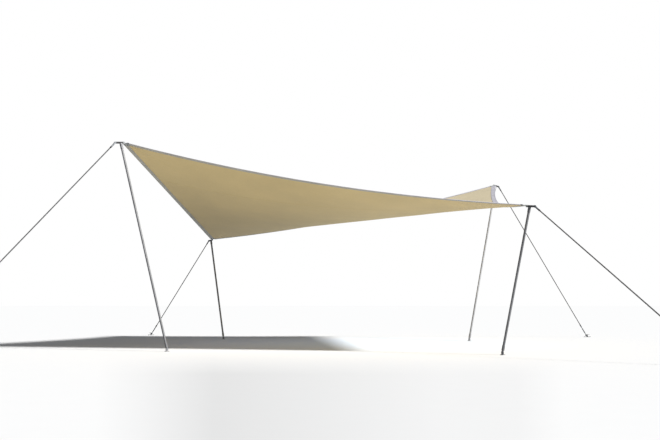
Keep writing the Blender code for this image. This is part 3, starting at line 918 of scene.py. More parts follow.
def smooth_sail(u, v):
    """Points of the smooth sail: u runs from left to right and v from front to back, 0 to 1."""
    sail, tips = settings().sail, sail_tips()
    front_left, front_right, back_right, back_left = (tips[name] for name in CORNERS)
    u, v = (np.asarray(item, float)[..., None] for item in np.broadcast_arrays(u, v))
    front = front_left * (1 - u) + front_right * u
    back = back_left * (1 - u) + back_right * u
    from_front, from_back = inward(front_left, front_right), inward(back_right, back_left)
    from_left, from_right = inward(back_left, front_left), inward(front_right, back_right)
    pull = arch(u) * ((1 - v) * from_front + v * from_back)
    pull = sail.edge_bow * (pull + arch(v) * ((1 - u) * from_left + u * from_right))
    slack = sail.right_slack * u * arch(v) ** 2
    edges = arch(u) * (1 - arch(v)) + arch(v) * (1 - arch(u))
    sag = sail.edge_sag * edges + sail.centre_sag * arch(u) * arch(v) + slack * (1 - arch(u))
    return front * (1 - v) + back * v + pull + slack * from_right - sag * np.array((0, 0, 1))


def sail_normals(u, v, step=0.0005):
    u, v = np.broadcast_arrays(u, v)
    along = smooth_sail(u + step, v) - smooth_sail(u - step, v)
    across = smooth_sail(u, v + step) - smooth_sail(u, v - step)
    normal = np.cross(along, across)
    return normal / np.linalg.norm(normal, axis=-1, keepdims=True)


def edge_length():
    """The straight distance from one tip of the sail to the next."""
    tips = sail_tips()
    return float(np.linalg.norm(tips["front_right"] - tips["front_left"]))


def relief(u, v):
    """How far the cloth stands off the smooth sail: creases from the corners and soft ripples."""
    sail, span = settings().sail, edge_length()
    height = np.zeros(np.broadcast(u, v).shape)
    corners = ((u, v), (1 - u, v), (1 - u, 1 - v), (u, 1 - v))
    for (a, b), turn in zip(corners, CREASE_TURNS):
        reach = np.hypot(a, b) * span
        spread = np.arctan2(b, a)
        fade = np.clip(reach / CREASE_START, 0, 1) ** 2 * np.exp(-(reach**2))
        ridges = np.sin(spread * CREASE_RIDGES + turn) * np.sin(2 * spread)
        height = height + sail.crease * fade * ridges
    waves = 0
    for along, across, start in RIPPLES:
        waves = waves + np.sin(along * u * span + across * v * span + start)
    edge = np.minimum(np.minimum(u, 1 - u), np.minimum(v, 1 - v))
    rim = np.clip(edge / RIM_SHARE, 0, 1)
    return height * rim + sail.ripple / 3 * waves * rim**2


def cloth_points(u, v, lift=0.0):
    """Points of the real cloth, lifted off its middle by `lift`."""
    offset = relief(u, v) + lift
    return smooth_sail(u, v) + offset[..., None] * sail_normals(u, v)


def from_corner(corner, a, b):
    """u and v, from shares a and b along the two edges that leave a corner."""
    places = {
        "front_left": (a, b),
        "front_right": (1 - b, a),
        "back_right": (1 - a, 1 - b),
        "back_left": (b, 1 - a),
    }
    return places[corner]


def sheet_lines(count):
    """Grid lines across the sheet, closer together near the hems."""
    t = np.linspace(0, 1, count)
    t = t - CROWDING * np.sin(math.tau * t) / math.tau
    return HEM_SHARE + t * (1 - 2 * HEM_SHARE)


def make_canopy():
    """The cloth in two layers of faces, with an overlap raised on both sides along each seam."""
    sail, span = settings().sail, edge_length()
    across = sheet_lines(LINES_ACROSS)
    seams = [k / sail.panels for k in range(1, sail.panels)]
    half = sail.seam_width / 2 / span
    lips = [(seam + way * half, seam + way * (half + SEAM_LIP)) for seam in seams for way in (-1, 1)]
    along = sheet_lines(LINES_ALONG)
    along = [line for line in along if all(abs(line - seam) > half * SEAM_ROOM for seam in seams)]
    along = np.sort(np.concatenate([along, np.ravel(lips), seams]))
    u, v = np.meshgrid(across, along)
    raised = np.zeros(v.shape)
    for seam in seams:
        raised[np.abs(v - seam) < half + SEAM_LIP / 2] = SEAM_LIFT
    form = Form()
    layers = [cloth_points(u, v, side * (sail.thickness / 2 + raised)) for side in (1, -1)]
    for finish, layer in enumerate(layers):
        form.add_cloth(layer, np.stack([u, v], -1) * span, finish)
    for rim in (np.s_[0], np.s_[-1], np.s_[:, 0], np.s_[:, -1]):
        form.add_net([layers[0][rim], layers[1][rim]])
    form.make("canopy_cloth", "canopy_fabric", ["canopy"], CLOTH_FINISHES[:2], 60)


def hem_section(width):
    """The hem's closed outline: how far from its outer edge, and how far from its middle."""
    lip, groove, radius = HEM_GROOVE / 2 + HEM_LIP, HEM_GROOVE / 2, HEM_ROPE / 2
    rope = arc((radius, 0), radius, 180, 52, 9).tolist()
    neck = [(HEM_ROPE * 1.15, lip * 1.18), (HEM_ROPE * 1.5, lip)]
    end = width + HEM_LAP
    flat = [(x, lip) for x in np.linspace(HEM_ROPE * 2.2, end - 0.001, 5)]
    inside = [(end, lip - 0.0008), (end, groove), (width - 0.0008, groove)]
    upper = rope + neck + flat + inside
    lower = [(x, -z) for x, z in reversed(upper[1:])]
    return np.array(upper + lower)


def hem_stations(corner, t):
    """The outer point, the way in across the hem, the normal and the width at places on an edge."""
    t = np.asarray(t, float)
    outer = smooth_sail(*from_corner(corner, t, 0 * t))
    inner = smooth_sail(*from_corner(corner, t, 0 * t + HEM_SHARE))
    width = np.linalg.norm(inner - outer, axis=-1)
    across = (inner - outer) / width[..., None]
    before, after = (from_corner(corner, t + way * HEM_SHARE / 2, 0 * t) for way in (-1, 1))
    normal = np.cross(smooth_sail(*after) - smooth_sail(*before), across)
    normal /= np.linalg.norm(normal, axis=-1, keepdims=True)
    return outer, across, normal, width


def stitch_lines(level):
    """The three lines along a stitch: how far each lies to its side, and its heights."""
    for side, height in ((-STITCH_SIDE, 0.35), (0.0, 1.0), (STITCH_SIDE, 0.35)):
        yield side, level + np.where(STITCH_RISE > 0, STITCH_RISE * height, STITCH_RISE)


def zigzag(count, reach):
    """How far the places of each stitch lie to the side, to and fro from stitch to stitch."""
    return reach * (STITCH_PLACES - 0.5) * (1 - 2 * (np.arange(count)[:, None] % 2))


def add_stitches(form, corner, offset, reach=0.0):
    """A row of stitches along an edge, on both faces of the hem, set to and fro by a reach."""
    sail, span = settings().sail, edge_length()
    usable = (1 - 2 * HEM_START) * span - 2 * STITCH_MARGIN
    count = int(usable / sail.stitch_pitch)
    marks = np.arange(count)[:, None] + STITCH_SHARE * STITCH_PLACES
    t = HEM_START + STITCH_MARGIN / span + marks * sail.stitch_pitch / span
    outer, across, normal, width = hem_stations(corner, t)
    middle = offset(width) + zigzag(count, reach)
    for face in (1, -1):
        rows = []
        for side, lift in stitch_lines(HEM_GROOVE / 2 + HEM_LIP):
            point = outer + (middle + side)[..., None] * across
            rows.append(point + face * lift[:, None] * normal)
        form.add_ridges(np.stack(rows, 2), 2)


def make_hem(name, corner):
    """Webbing folded over the edge rope and the cloth's edge, with three rows of stitches."""
    start = HEM_START - HEM_TUCK
    stations = np.linspace(start, 1 - start, 150)
    outer, across, normal, width = hem_stations(corner, stations)
    rows = []
    for k in range(len(stations)):
        section = hem_section(width[k])
        rows.append(outer[k] + section[:, :1] * across[k] + section[:, 1:] * normal[k])
    rows = np.array(rows)
    count = rows.shape[1]
    upper = count // 2 + 1
    lower = list(range(upper, count)) + [0]
    form = Form()
    form.add_net(rows[:, : upper + 1], finish=0)
    form.add_net(rows[:, lower], finish=1)
    for end in (rows[0], rows[-1]):
        form.add(end, [list(range(count))])
    add_stitches(form, corner, lambda width: 0 * width + HEM_ROPE * 2.3)
    add_stitches(form, corner, lambda width: width - 0.012)
    add_stitches(form, corner, lambda width: width + HEM_LAP - 0.006, 0.005)
    # The hem's upper lips take the lighter, bluer copy of the webbing: painted sheen
    finishes = ["hem_webbing_upper", "hem_webbing", "sewing_thread"]
    form.make(f"{name}_webbing", "hem_webbing", [name], finishes)


def patch_edge(turns):
    """How far a corner patch reaches, at a turn from one hem to the other."""
    return settings().sail.patch_reach * (0.62 + 0.38 * np.cos(2 * turns) ** 2)


def patch_place(corner, reach, turns):
    """u and v at a reach in metres from a corner's cloth, at a turn from one hem to the other."""
    reach = reach / edge_length()
    return from_corner(corner, HEM_SHARE + reach * np.cos(turns), HEM_SHARE + reach * np.sin(turns))


def add_patch(form, corner, side, finish):
    """A doubled layer of cloth over one corner, on one face of the sheet, with a sewn inner edge."""
    sail, span = settings().sail, edge_length()
    level = sail.thickness / 2 + PATCH_LIFT
    turns = np.radians(np.linspace(0, 90, 33))
    edge = patch_edge(turns)
    u, v = patch_place(corner, np.linspace(0, 1, 25)[:, None] * edge, turns)
    lift = np.full(u.shape, level)
    lift[-1] -= PATCH_LIFT + 0.0001
    form.add_cloth(cloth_points(u, v, side * lift), np.stack([u, v], -1) * span, finish)
    count = int(edge.mean() * math.pi / 2 / sail.stitch_pitch)
    marks = np.arange(count)[:, None] + 0.72 * STITCH_PLACES
    turns = (marks + 0.2) / (count + 1) * math.pi / 2
    middle = patch_edge(turns) - 0.012 + zigzag(count, 0.004)
    rows = []
    for place, stand in stitch_lines(level):
        u, v = patch_place(corner, middle + place, turns)
        rows.append(cloth_points(u, v, side * np.broadcast_to(stand, u.shape)))
    form.add_ridges(np.stack(rows, 2), 2)


def make_patch(corner):
    form = Form()
    add_patch(form, corner, 1, 0)
    add_patch(form, corner, -1, 1)
    form.make(f"{corner}_corner_patch", "canopy_fabric", [], CLOTH_FINISHES, 60)


# Fittings

def add_fork(form, at, end, half_width, matrix=IDENTITY):
    """Two upright ears with round ends about a bolt at `at`, which reach back to `end`."""
    outline = tongue(at, end, EAR_ROUND, half_width)
    upright = matrix @ UPRIGHT
    for low, high in ((FORK_INSIDE, FORK_OUTSIDE), (-FORK_OUTSIDE, -FORK_INSIDE)):
        form.add_plate(outline, low, high, edge=0.0012, at=upright)
    place = Matrix.Translation((at[0], at[1], 0))
    form.add_bolt(-FORK_OUTSIDE, FORK_OUTSIDE, BOLT_RADIUS, BOLT_HEAD, 1, at=upright @ place)


def straight_bead(form, start, end, radius, at=IDENTITY):
    """A weld bead from one place to another."""
    path = [Vector(start).lerp(Vector(end), k / 8) for k in range(9)]
    form.add_bead(path, [(0, 0, 1)] * 9, radius, at)


def round_bead(form, level, around, radius, at=IDENTITY):
    """A weld bead around a stake, at a level and a distance from its axis."""
    turns = np.arange(61) * math.tau / 60
    ways = np.stack([np.cos(turns), np.sin(turns), 0 * turns], -1)
    form.add_bead(ways * around + np.array((0, 0, level)), ways, radius, at)


def add_lug(form, outline, *holes, edge=0.0014):
    """An upright plate with a bolt's hole about each of some places."""
    holes = [circle(hole, BOLT_HOLE) for hole in holes]
    form.add_plate(outline, -LUG / 2, LUG / 2, holes, edge=edge, at=UPRIGHT)


def add_lug_beads(form, reach, level, radius):
    """The weld beads along both faces of a lug."""
    for y in (-LUG / 2, LUG / 2):
        straight_bead(form, (-reach, y, level), (reach, y, level), radius)


def add_grub_screws(form, level, radius, turns=(90, 270)):
    """Set screws that hold a tube in its socket, with a hexagonal hole in each."""
    top = radius + 0.0022
    rim = [(radius - 0.002, 0.0068), (radius + 0.0014, 0.0068), (top, 0.0058), (top, 0.0036)]
    hole = [(top, 0.0036), (radius - 0.001, 0.0034), (radius - 0.001, 0)]
    for turn in turns:
        way = Matrix.Rotation(math.radians(turn), 4, "Z") @ TO_X
        at = Matrix.Translation((0, 0, level)) @ way
        form.add_turning(rim, 1, at, 24)
        form.add_turning(hole, 1, at, 6)


def add_ground_pegs(form, middle, reach, level, scale=1.0):
    """The heads of four ground pegs with their washers, about a middle on the X axis."""
    washer = [(0, 0.005), (0, 0.0145), (0.0022, 0.0145), (0.0026, 0.014), (0.0026, 0.005)]
    head = [(0.0026, 0.0105), (0.0072, 0.0105), (0.0086, 0.0092), (0.0094, 0.006), (0.0096, 0)]
    for x in (-1, 1):
        for y in (-1, 1):
            place = (middle + x * reach[0], y * reach[1], level)
            at = Matrix.Translation(place) @ Matrix.Scale(scale, 4)
            form.add_turning(washer, 1, at, 32)
            form.add_turning(head, 1, at, 28)


def plate_frame(corner):
    """The sail's own frame at a corner: X outward, Z square to the sheet, from its corner."""
    cell = HEM_SHARE + (1 - 2 * HEM_SHARE) * PLATE_CELL
    places = ((HEM_SHARE, HEM_SHARE), (cell, HEM_SHARE), (HEM_SHARE, cell))
    points = [smooth_sail(*from_corner(corner, *place)) for place in places]
    start, one, other = (Vector(point.tolist()) for point in points)
    one, other = (one - start).normalized(), (other - start).normalized()
    normal = one.cross(other).normalized()
    outward = -(one + other).normalized()
    matrix = Matrix((outward, normal.cross(outward), normal)).transposed().to_4x4()
    matrix.translation = start
    return matrix


def add_rope_sleeve(form, start, end, matrix):
    """A ribbed sleeve that grips an edge rope beside the corner plate."""
    radius = HEM_ROPE / 2 + 0.0016
    run = end - start
    levels = [run.length * (0.2 + 0.2 * k) for k in range(4)]
    profile = [(0, 0), (0, radius - 0.001), (0.001, radius)]
    profile += repeated(levels, [(-0.003, radius), (0, radius - 0.0009), (0.003, radius)])
    profile += [(run.length - 0.001, radius), (run.length, radius - 0.001), (run.length, 0)]
    turn = run.to_track_quat("Z", "Y").to_matrix().to_4x4()
    form.add_turning(profile, 1, matrix @ Matrix.Translation(start) @ turn, 28)


def make_corner_plate(corner):
    """Two clamping plates around the sail's tip, with bolts, a fork and the edge ropes' sleeves."""
    kind = CORNERS[corner][0]
    matrix = plate_frame(corner)
    to_plate = matrix.inverted()

    def local(a, b):
        return to_plate @ Vector(smooth_sail(*from_corner(corner, a, b)).tolist())

    hole = to_plate @ corner_turn(corner) @ head_point(kind, -HEAD_INNER)
    reach = HEM_START - HEM_SHARE / 10
    back, left, right = local(reach, reach), local(reach, 0), local(0, reach)
    if left.y > 0:
        left, right = right, left
    nose = hole.x - PLATE_NOSE
    rear = Vector((back.x, 0))
    front = [Vector((nose, -PLATE_NOSE)), Vector((nose, PLATE_NOSE))]
    half, groove = PLATE_THICKNESS / 2, HEM_GROOVE / 2
    form = Form()
    outline = rounded([rear, left.xy, *front, right.xy], radius=0.010)
    for low, high in ((groove, half), (-half, -groove)):
        form.add_plate(outline, low, high, edge=0.0010, at=matrix)
    # What fills the gap between the two plates, around the cloth's tip
    opening = []
    for side in (left, right):
        ray = Vector((back.x * 3, side.y * 2.5))
        opening.append(intersect_line_line_2d(Vector((0, 0)), ray, rear, side.xy))
    middle = [Vector((0.0008, 0)), opening[0], left.xy, *front, right.xy, opening[1]]
    middle = [point * FILLER_SHARE for point in middle]
    form.add_plate(middle, -groove - PLAY, groove + PLAY, edge=0.0002, at=matrix)
    bolts = [rear * 0.60]
    for side in (left, right):
        bolts += [out * rear.lerp(side.xy, along) for out, along in PLATE_BOLTS]
    for x, y in bolts:
        place = Matrix.Translation((x, y, 0))
        form.add_bolt(-half, half, PLATE_BOLT_RADIUS, PLATE_BOLT_HEAD, 1, at=matrix @ place)
    end = nose - PLATE_NOSE / 2
    add_fork(form, (hole.x, hole.z), (end, 0), half - PLAY, matrix)
    for way in (-1, 1):
        for y in (FORK_INSIDE, FORK_OUTSIDE):
            for level in (-half, half):
                ends = (end, way * y, level), (nose - 0.001, way * y, level)
                straight_bead(form, *ends, PLATE_BEAD, matrix)
    for a, b in ((1, 0), (0, 1)):
        ends = []
        for t in (reach + SLEEVE_START, reach + SLEEVE_END):
            edge, inside = local(t * a, t * b), local(t * a + HEM_SHARE * b, t * b + HEM_SHARE * a)
            ends.append(edge + (inside - edge).normalized() * HEM_ROPE / 2)
        add_rope_sleeve(form, *ends, matrix)
    finishes = ["plate_steel", "dull_zinc"]
    form.make(f"{corner}_clamp_plate", "plate_steel", [f"{corner}_corner_plate"], finishes)


def head_form(length):
    """The head: a socket over the mast's top and a plate across it, in the mast's frame."""
    form = Form()
    radius, rim = HEAD_SOCKET_RADIUS, HEAD_SOCKET_RADIUS + 0.0014
    bore = settings().mast.tube / 2 + TUBE_FIT
    cap = length - LUG_ROUND / 2
    bottom = cap - HEAD_SOCKET
    outside = [(cap, 0), (cap, radius - 0.0012), (cap - 0.0012, radius)]
    outside += [(bottom + 0.007, radius), (bottom + 0.006, rim), (bottom + 0.001, rim)]
    outside.append((bottom, radius))
    inside = [(bottom, bore), (cap - HEAD_CAP, bore), (cap - HEAD_CAP, 0)]
    form.add_turning([*outside, *inside], 2)
    inner, outer = head_place(length, -HEAD_INNER), head_place(length, HEAD_OUTER)
    start = 90 + HEAD_TURN
    inner_end = arc(inner, LUG_ROUND, start, start + 180, 18)
    outline = [*inner_end, *arc(outer, LUG_ROUND, start - 180, start, 18)]
    add_lug(form, outline, inner, outer, edge=0.0016)
    add_lug_beads(form, reach=0.028, level=cap, radius=HEAVY_BEAD)
    for depth in HEAD_SCREWS:
        add_grub_screws(form, cap - depth, radius)
    return form


def mast_form(length):
    """The mast: a welded tube, with the line of its weld and its spring buttons."""
    form = Form()
    mast = settings().mast
    start = FOOT_SLEEVE_START + FOOT_FLOOR + PLAY
    end = length - LUG_ROUND / 2 - HEAD_CAP - PLAY
    outside, inside = mast.tube / 2, mast.tube / 2 - mast.wall
    stations = 40
    levels = np.linspace(start + 0.001, end - 0.001, stations)
    tube = [(start, inside), (start, outside - 0.001), *[(level, outside) for level in levels]]
    form.add_turning([*tube, (end, outside - 0.001), (end, inside), (start, inside)], sides=48)
    path = [(0, outside - 0.0002, level) for level in np.linspace(start, end, stations)]
    rise, half_width = 0.0006, 0.0016
    turns = np.arange(8) * math.tau / 8
    ridge = [(rise * math.cos(t), half_width * math.sin(t)) for t in turns]
    form.add_swept(path, [(0, 1, 0)] * stations, ridge)
    foot, top, crown = outside - 0.001, outside + 0.0003, outside + 0.0024
    button = [(foot, 0.0045), (outside + 0.0008, 0.0044), (outside + 0.0020, 0.0030), (crown, 0)]
    collar = [(foot, 0.0060), (top, 0.0058), (top, 0.0046)]
    socket_end = length - LUG_ROUND / 2 - HEAD_SOCKET
    for level in (FOOT_SLEEVE_END + BUTTON_AWAY, socket_end - BUTTON_AWAY):
        at = Matrix.Translation((0, 0, level)) @ Matrix.Rotation(math.pi, 4, "Z") @ TO_X
        form.add_turning(button, 1, at, 20)
        form.add_turning(collar, 0, at, 24)
    return form


def foot_form():
    """The foot: a sleeve around the mast's end with a tongue under it, in the mast's frame."""
    form = Form()
    bottom, top, floor = FOOT_SLEEVE_START, FOOT_SLEEVE_END, FOOT_SLEEVE_START + FOOT_FLOOR
    radius, rim = FOOT_SLEEVE_RADIUS, FOOT_SLEEVE_RADIUS + 0.0012
    bore = settings().mast.tube / 2 + TUBE_FIT
    outside = [(bottom, 0), (bottom, radius - 0.0015), (bottom + 0.0015, radius)]
    outside += [(top - 0.008, radius), (top - 0.007, rim), (top - 0.001, rim), (top, radius)]
    form.add_turning([*outside, (top, bore), (floor, bore), (floor, 0)])
    outline = tongue((0, PIVOT), (0, bottom + FOOT_FLOOR / 2), LUG_ROUND, LUG_ROUND)
    add_lug(form, outline, (0, PIVOT))
    add_lug_beads(form, LUG_ROUND, bottom, FOOT_BEAD)
    add_grub_screws(form, (bottom + top) / 2 + 0.006, radius, (0, 90, 180, 270))
    return form


def base_form():
    """The base plate on its pegs, with its fork upright about the foot's bolt."""
    form = Form()
    lean = settings().mast.lean
    pivot = Vector((PIVOT * math.sin(lean), PIVOT * math.cos(lean)))
    half = BASE_SIDE / 2
    corners = rectangle((pivot.x - half, -half), (pivot.x + half, half))
    form.add_plate(rounded(corners, radius=0.008), 0, BASE_THICKNESS, edge=0.0018)
    add_ground_pegs(form, pivot.x, BASE_PEGS, BASE_THICKNESS, BASE_PEG_SCALE)
    add_fork(form, pivot, (pivot.x, BASE_THICKNESS / 2), EAR_ROUND)
    for side in (-1, 1):
        for y, bead in ((FORK_OUTSIDE, HEAVY_BEAD), (FORK_INSIDE, LIGHT_BEAD)):
            ends = [(pivot.x + x * EAR_ROUND, side * y, BASE_THICKNESS) for x in (-1, 1)]
            straight_bead(form, *ends, bead)
    return form


def add_fork_end(form):
    """A fork on the bolt at the origin, with the block that carries its ears, toward +X."""
    half_width, half_height = FORK_OUTSIDE - PLAY, FORK_HEIGHT / 2 - PLAY
    corners = rectangle((FORK_THROAT, -half_width), (FORK_LENGTH, half_width))
    form.add_plate(rounded(corners, radius=0.004), -half_height, half_height, edge=0.0022)
    add_fork(form, (0, 0), (FORK_THROAT + FORK_BODY / 2, 0), FORK_HEIGHT / 2)


def socket_profile(start, end):
    """A swaged socket: press rings around it and a rolled mouth for the rope."""
    radius, bore = SOCKET_RADIUS, settings().mast.rope_radius + PLAY
    pressed = radius - 0.0012
    ring = [(0, radius), (0.0015, pressed), (0.0055, pressed), (0.007, radius)]
    profile = [(start, 0.010), (start + 0.001, radius - 0.0015), (start + 0.0025, radius)]
    profile += repeated([start + 0.013 + 0.014 * k for k in range(5)], ring)
    profile += [(end - 0.0015, radius), (end, radius - 0.0015), (end, bore)]
    return [*profile, (end - SOCKET_GRIP, bore), (end - SOCKET_GRIP, 0)]


def rope_boot(end):
    """A rubber boot that closes the socket's mouth around the rope."""
    rope = settings().mast.rope_radius
    profile = [(end - 0.006, SOCKET_RADIUS + 0.0008), (end + 0.002, SOCKET_RADIUS + 0.0008)]
    for k in range(4):
        level = end + 0.004 + 0.006 * k
        radius = SOCKET_RADIUS - 0.0009 * (k + 1)
        profile += [(level, radius), (level + 0.003, radius), (level + 0.004, radius - 0.0012)]
    return [*profile, (end + 0.031, rope + 0.0006), (end + 0.031, rope - 0.002)]


def terminal_form():
    """The rope's upper end: a fork over the head plate and a socket, in the guy's frame."""
    form = Form()
    add_fork_end(form)
    start = FORK_LENGTH - PLAY
    form.add_turning(socket_profile(start, start + SOCKET), 1, TO_X)
    form.add_turning(rope_boot(start + SOCKET), 2, TO_X)
    return form


def tensioner_form():
    """The tensioner: a fork, two threaded studs, the turning body with lock nuts, and a socket."""
    form = Form()
    add_fork_end(form)
    start = FORK_LENGTH - PLAY
    body_start = start + TENSIONER_STUD
    body_end = body_start + TENSIONER_BODY
    socket_start = body_end + TENSIONER_STUD
    end = socket_start + SOCKET
    radius, waist = TENSIONER_BODY_RADIUS, TENSIONER_BODY_RADIUS - 0.0022
    for low, high in ((start, body_start), (body_end, socket_start)):
        stud = thread(low - 0.004, high + 0.004, TENSIONER_STUD_RADIUS, 0.0020)
        form.add_turning(stud, 1, TO_X, 24)
    near = [(0, 0), (0, radius - 0.002), (0.002, radius), (0.022, radius), (0.030, waist)]
    body = [(body_start + level, size) for level, size in near]
    body += [(level, waist) for level in np.linspace(body_start + 0.034, body_end - 0.034, 6)]
    body += [(body_end - level, size) for level, size in reversed(near)]
    form.add_turning(body, 1, TO_X)
    rim = [(waist - 0.002, 0.0062), (waist + 0.0008, 0.0062), (waist + 0.0012, 0.0056)]
    rim += [(waist + 0.0012, 0.0044), (waist - 0.0035, 0.0042), (waist - 0.0035, 0)]
    middle = Matrix.Translation(((body_start + body_end) / 2, 0, 0))
    for side in (-1, 1):
        at = middle @ Matrix.Rotation(-side * math.pi / 2, 4, "X")
        form.add_turning(rim, 1, at, 24)
    nut = [(0, 0), (0, 0.0135), (0.001, 0.0144), (0.0085, 0.0144), (0.0100, 0.0130), (0.0100, 0)]
    for face, way in ((body_start - 0.0006, -1), (body_end + 0.0006, 1)):
        form.add_turning([(face + way * level, size) for level, size in nut], 1, TO_X, 6)
    form.add_turning(socket_profile(socket_start, end), 1, TO_X)
    form.add_turning(rope_boot(end), 2, TO_X)
    return form, end


def rope_form(start, end):
    """A braided rope along X: four strands each way round, which pass over and under in turn."""
    form = Form()
    radius, pitch, steps = settings().mast.rope_radius, 0.085, 14
    count = int((end - start) / pitch * steps)
    x = np.linspace(start, end, count + 1)
    turn = (x - start) * math.tau / pitch
    half_thick, half_wide = radius * 0.20, radius * 0.42
    weave = radius * 0.125
    sides = np.arange(6) * math.tau / 6
    section = np.stack([half_thick * np.cos(sides), half_wide * np.sin(sides)], -1)
    for way, over in ((1, 1), (-1, -1)):
        for k in range(4):
            angle = way * turn + k * math.pi / 2
            out = radius - half_thick - weave + over * weave * np.cos(4 * turn)
            spokes = np.stack([0 * x, np.cos(angle), np.sin(angle)], -1)
            path = out[:, None] * spokes
            path[:, 0] = x
            form.add_swept(path, spokes, section, capped=True)
    core = radius * 0.62
    form.add_turning([(start, 0), (start, core), (end, core), (end, 0)], 0, TO_X, 10)
    return form


def anchor_form():
    """The ground anchor: a pegged plate, a ribbed stake with its cap, and an eye."""
    form = Form()
    stake = EYE_RADIUS + STAKE_SETBACK
    at = Matrix.Translation((stake, 0, 0))
    length, width, thickness = ANCHOR_PLATE
    corners = rectangle((stake - length / 2, -width / 2), (stake + length / 2, width / 2))
    form.add_plate(rounded(corners, radius=0.012), 0, thickness, edge=0.0016)
    add_ground_pegs(form, stake, ANCHOR_PEGS, thickness)
    cap_length, cap_width, cap_thickness = STAKE_CAP
    cap_start = stake - STAKE_RADIUS - PLAY
    cap_bottom = STAKE_HEIGHT - cap_thickness / 2
    corners = rectangle((cap_start, -cap_width / 2), (cap_start + cap_length, cap_width / 2))
    cap = rounded(corners, radius=0.006)
    form.add_plate(cap, cap_bottom, cap_bottom + cap_thickness, edge=0.0012)
    rib, groove = STAKE_RADIUS, STAKE_RADIUS - 0.0012
    shaft = [(thickness / 2, 0), (thickness / 2, rib)]
    ring = [(0, rib), (0.0015, groove), (0.004, groove), (0.0055, rib)]
    shaft += repeated([thickness + 0.008 + 0.010 * k for k in range(5)], ring)
    form.add_turning([*shaft, (STAKE_HEIGHT, rib), (STAKE_HEIGHT, 0)], at=at)
    round_bead(form, thickness, STAKE_RADIUS + 0.0006, HEAVY_BEAD, at)
    round_bead(form, cap_bottom, STAKE_RADIUS - 0.0002, LIGHT_BEAD, at)
    eye = (EYE_RADIUS, EYE_HEIGHT)
    outline = tongue(eye, (stake, EYE_HEIGHT), LUG_ROUND, LUG_ROUND - PLAY)
    add_lug(form, outline, eye)
    return form


def share_between(corners, fitting, form, matrix=IDENTITY):
    """Places one made fitting at several corners, each in the stead of that corner's node."""
    node, slot_name, finishes = FITTINGS[fitting]
    first, *others = corners
    made = form.make(f"{first}_{fitting}", slot_name, [f"{first}_{node}"], finishes)
    made.matrix_world = corner_turn(first) @ matrix
    for corner in others:
        place = corner_turn(corner) @ matrix
        place_piece(f"{corner}_{fitting}", made.data, [f"{corner}_{node}"], place)


def make_heads():
    for kind in KINDS:
        share_between(corners_of(kind), "head_plate", head_form(mast_length(kind)), mast_frame(kind))


def make_masts():
    for kind in KINDS:
        share_between(corners_of(kind), "mast_tube", mast_form(mast_length(kind)), mast_frame(kind))


def make_feet():
    for kind in KINDS:
        share_between(corners_of(kind), "foot_sleeve", foot_form(), mast_frame(kind))
        ground = Matrix.Translation((foot_radius(kind), 0, 0))
        share_between(corners_of(kind), "ground_plate", base_form(), ground)


def make_guys():
    """The guy ropes with the terminal and the tensioner at their ends."""
    tensioner, tensioner_end = tensioner_form()
    rope_start = tensioner_end - SOCKET_GRIP + PLAY
    terminal_grip = FORK_LENGTH + SOCKET - SOCKET_GRIP + PLAY
    for kind in KINDS:
        corners = corners_of(kind)
        guy, length = guy_frame(kind)
        top = guy @ Matrix.Translation((length, 0, 0)) @ Matrix.Rotation(math.pi, 4, "Z")
        share_between(corners, "braided_rope", rope_form(rope_start, length - terminal_grip), guy)
        share_between(corners, "rope_fork", terminal_form(), top)
        share_between(corners, "turnbuckle", tensioner, guy)


# Stage

def make_camera():
    stage = settings().stage
    camera = add_object("Camera", bpy.data.cameras.new("Camera"))
    camera.data.lens = stage.lens
    camera.data.sensor_width = SENSOR_WIDTH
    camera.data.clip_end = CLIP_END
    camera.location = stage.camera
    camera.rotation_euler = (math.pi / 2 + stage.tilt, 0, stage.turn)
    bpy.context.scene.camera = camera


def make_lights():
    """The key light, and a cool light on the floor that takes the cloth's warm tint off it."""
    stage = settings().stage
    key = add_object("Key_light", bpy.data.lights.new("Key_light", "SUN"))
    key.data.energy = stage.sun
    key.data.angle = math.radians(KEY_SPREAD)
    key.rotation_euler = Vector(KEY_WAY).to_track_quat("-Z", "Y").to_euler()
    fill = add_object("Cool_fill", bpy.data.lights.new("Cool_fill", "AREA"))
    fill.data.shape = "RECTANGLE"
    fill.data.size, fill.data.size_y = FILL_SIZE
    fill.data.energy = stage.fill
    fill.data.color = FILL_COLOUR
    fill.location = FILL_PLACE
    fill.visible_camera = False
    fill.visible_glossy = False


def make_floor():
    stage = settings().stage
    mesh = bpy.data.meshes.new("Floor")
    corners = rectangle((-FLOOR_REACH, -FLOOR_REACH), (FLOOR_REACH, FLOOR_REACH))
    mesh.from_pydata([(x, y, 0) for x, y in corners], [], [(0, 1, 2, 3)])
    colour, painted_cool_tint = tuple(stage.floor), tuple(stage.floor_painted_cool_tint)
    mesh.materials.append(floor_finish("floor", colour, stage.mirror, painted_cool_tint))
    floor = add_object("Floor", mesh)
    floor.visible_glossy = False


def make_sky():
    """A soft cool light from all sides, behind which the camera sees plain white."""
    world = bpy.data.worlds.new("Studio")
    world.use_nodes = True
    nodes, links = world.node_tree.nodes, world.node_tree.links
    soft = nodes["Background"]
    soft.inputs["Color"].default_value = SKY_COLOUR
    soft.inputs["Strength"].default_value = settings().stage.sky
    white = nodes.new("ShaderNodeBackground")
    white.inputs["Color"].default_value = (1, 1, 1, 1)
    seen = nodes.new("ShaderNodeLightPath")
    choose = nodes.new("ShaderNodeMixShader")
    links.new(seen.outputs["Is Camera Ray"], choose.inputs["Fac"])
    links.new(soft.outputs["Background"], choose.inputs[1])
    links.new(white.outputs["Background"], choose.inputs[2])
    links.new(choose.outputs["Shader"], nodes["World Output"].inputs["Surface"])
    bpy.context.scene.world = world
    bpy.context.scene.view_settings.view_transform = "Standard"


# Operators

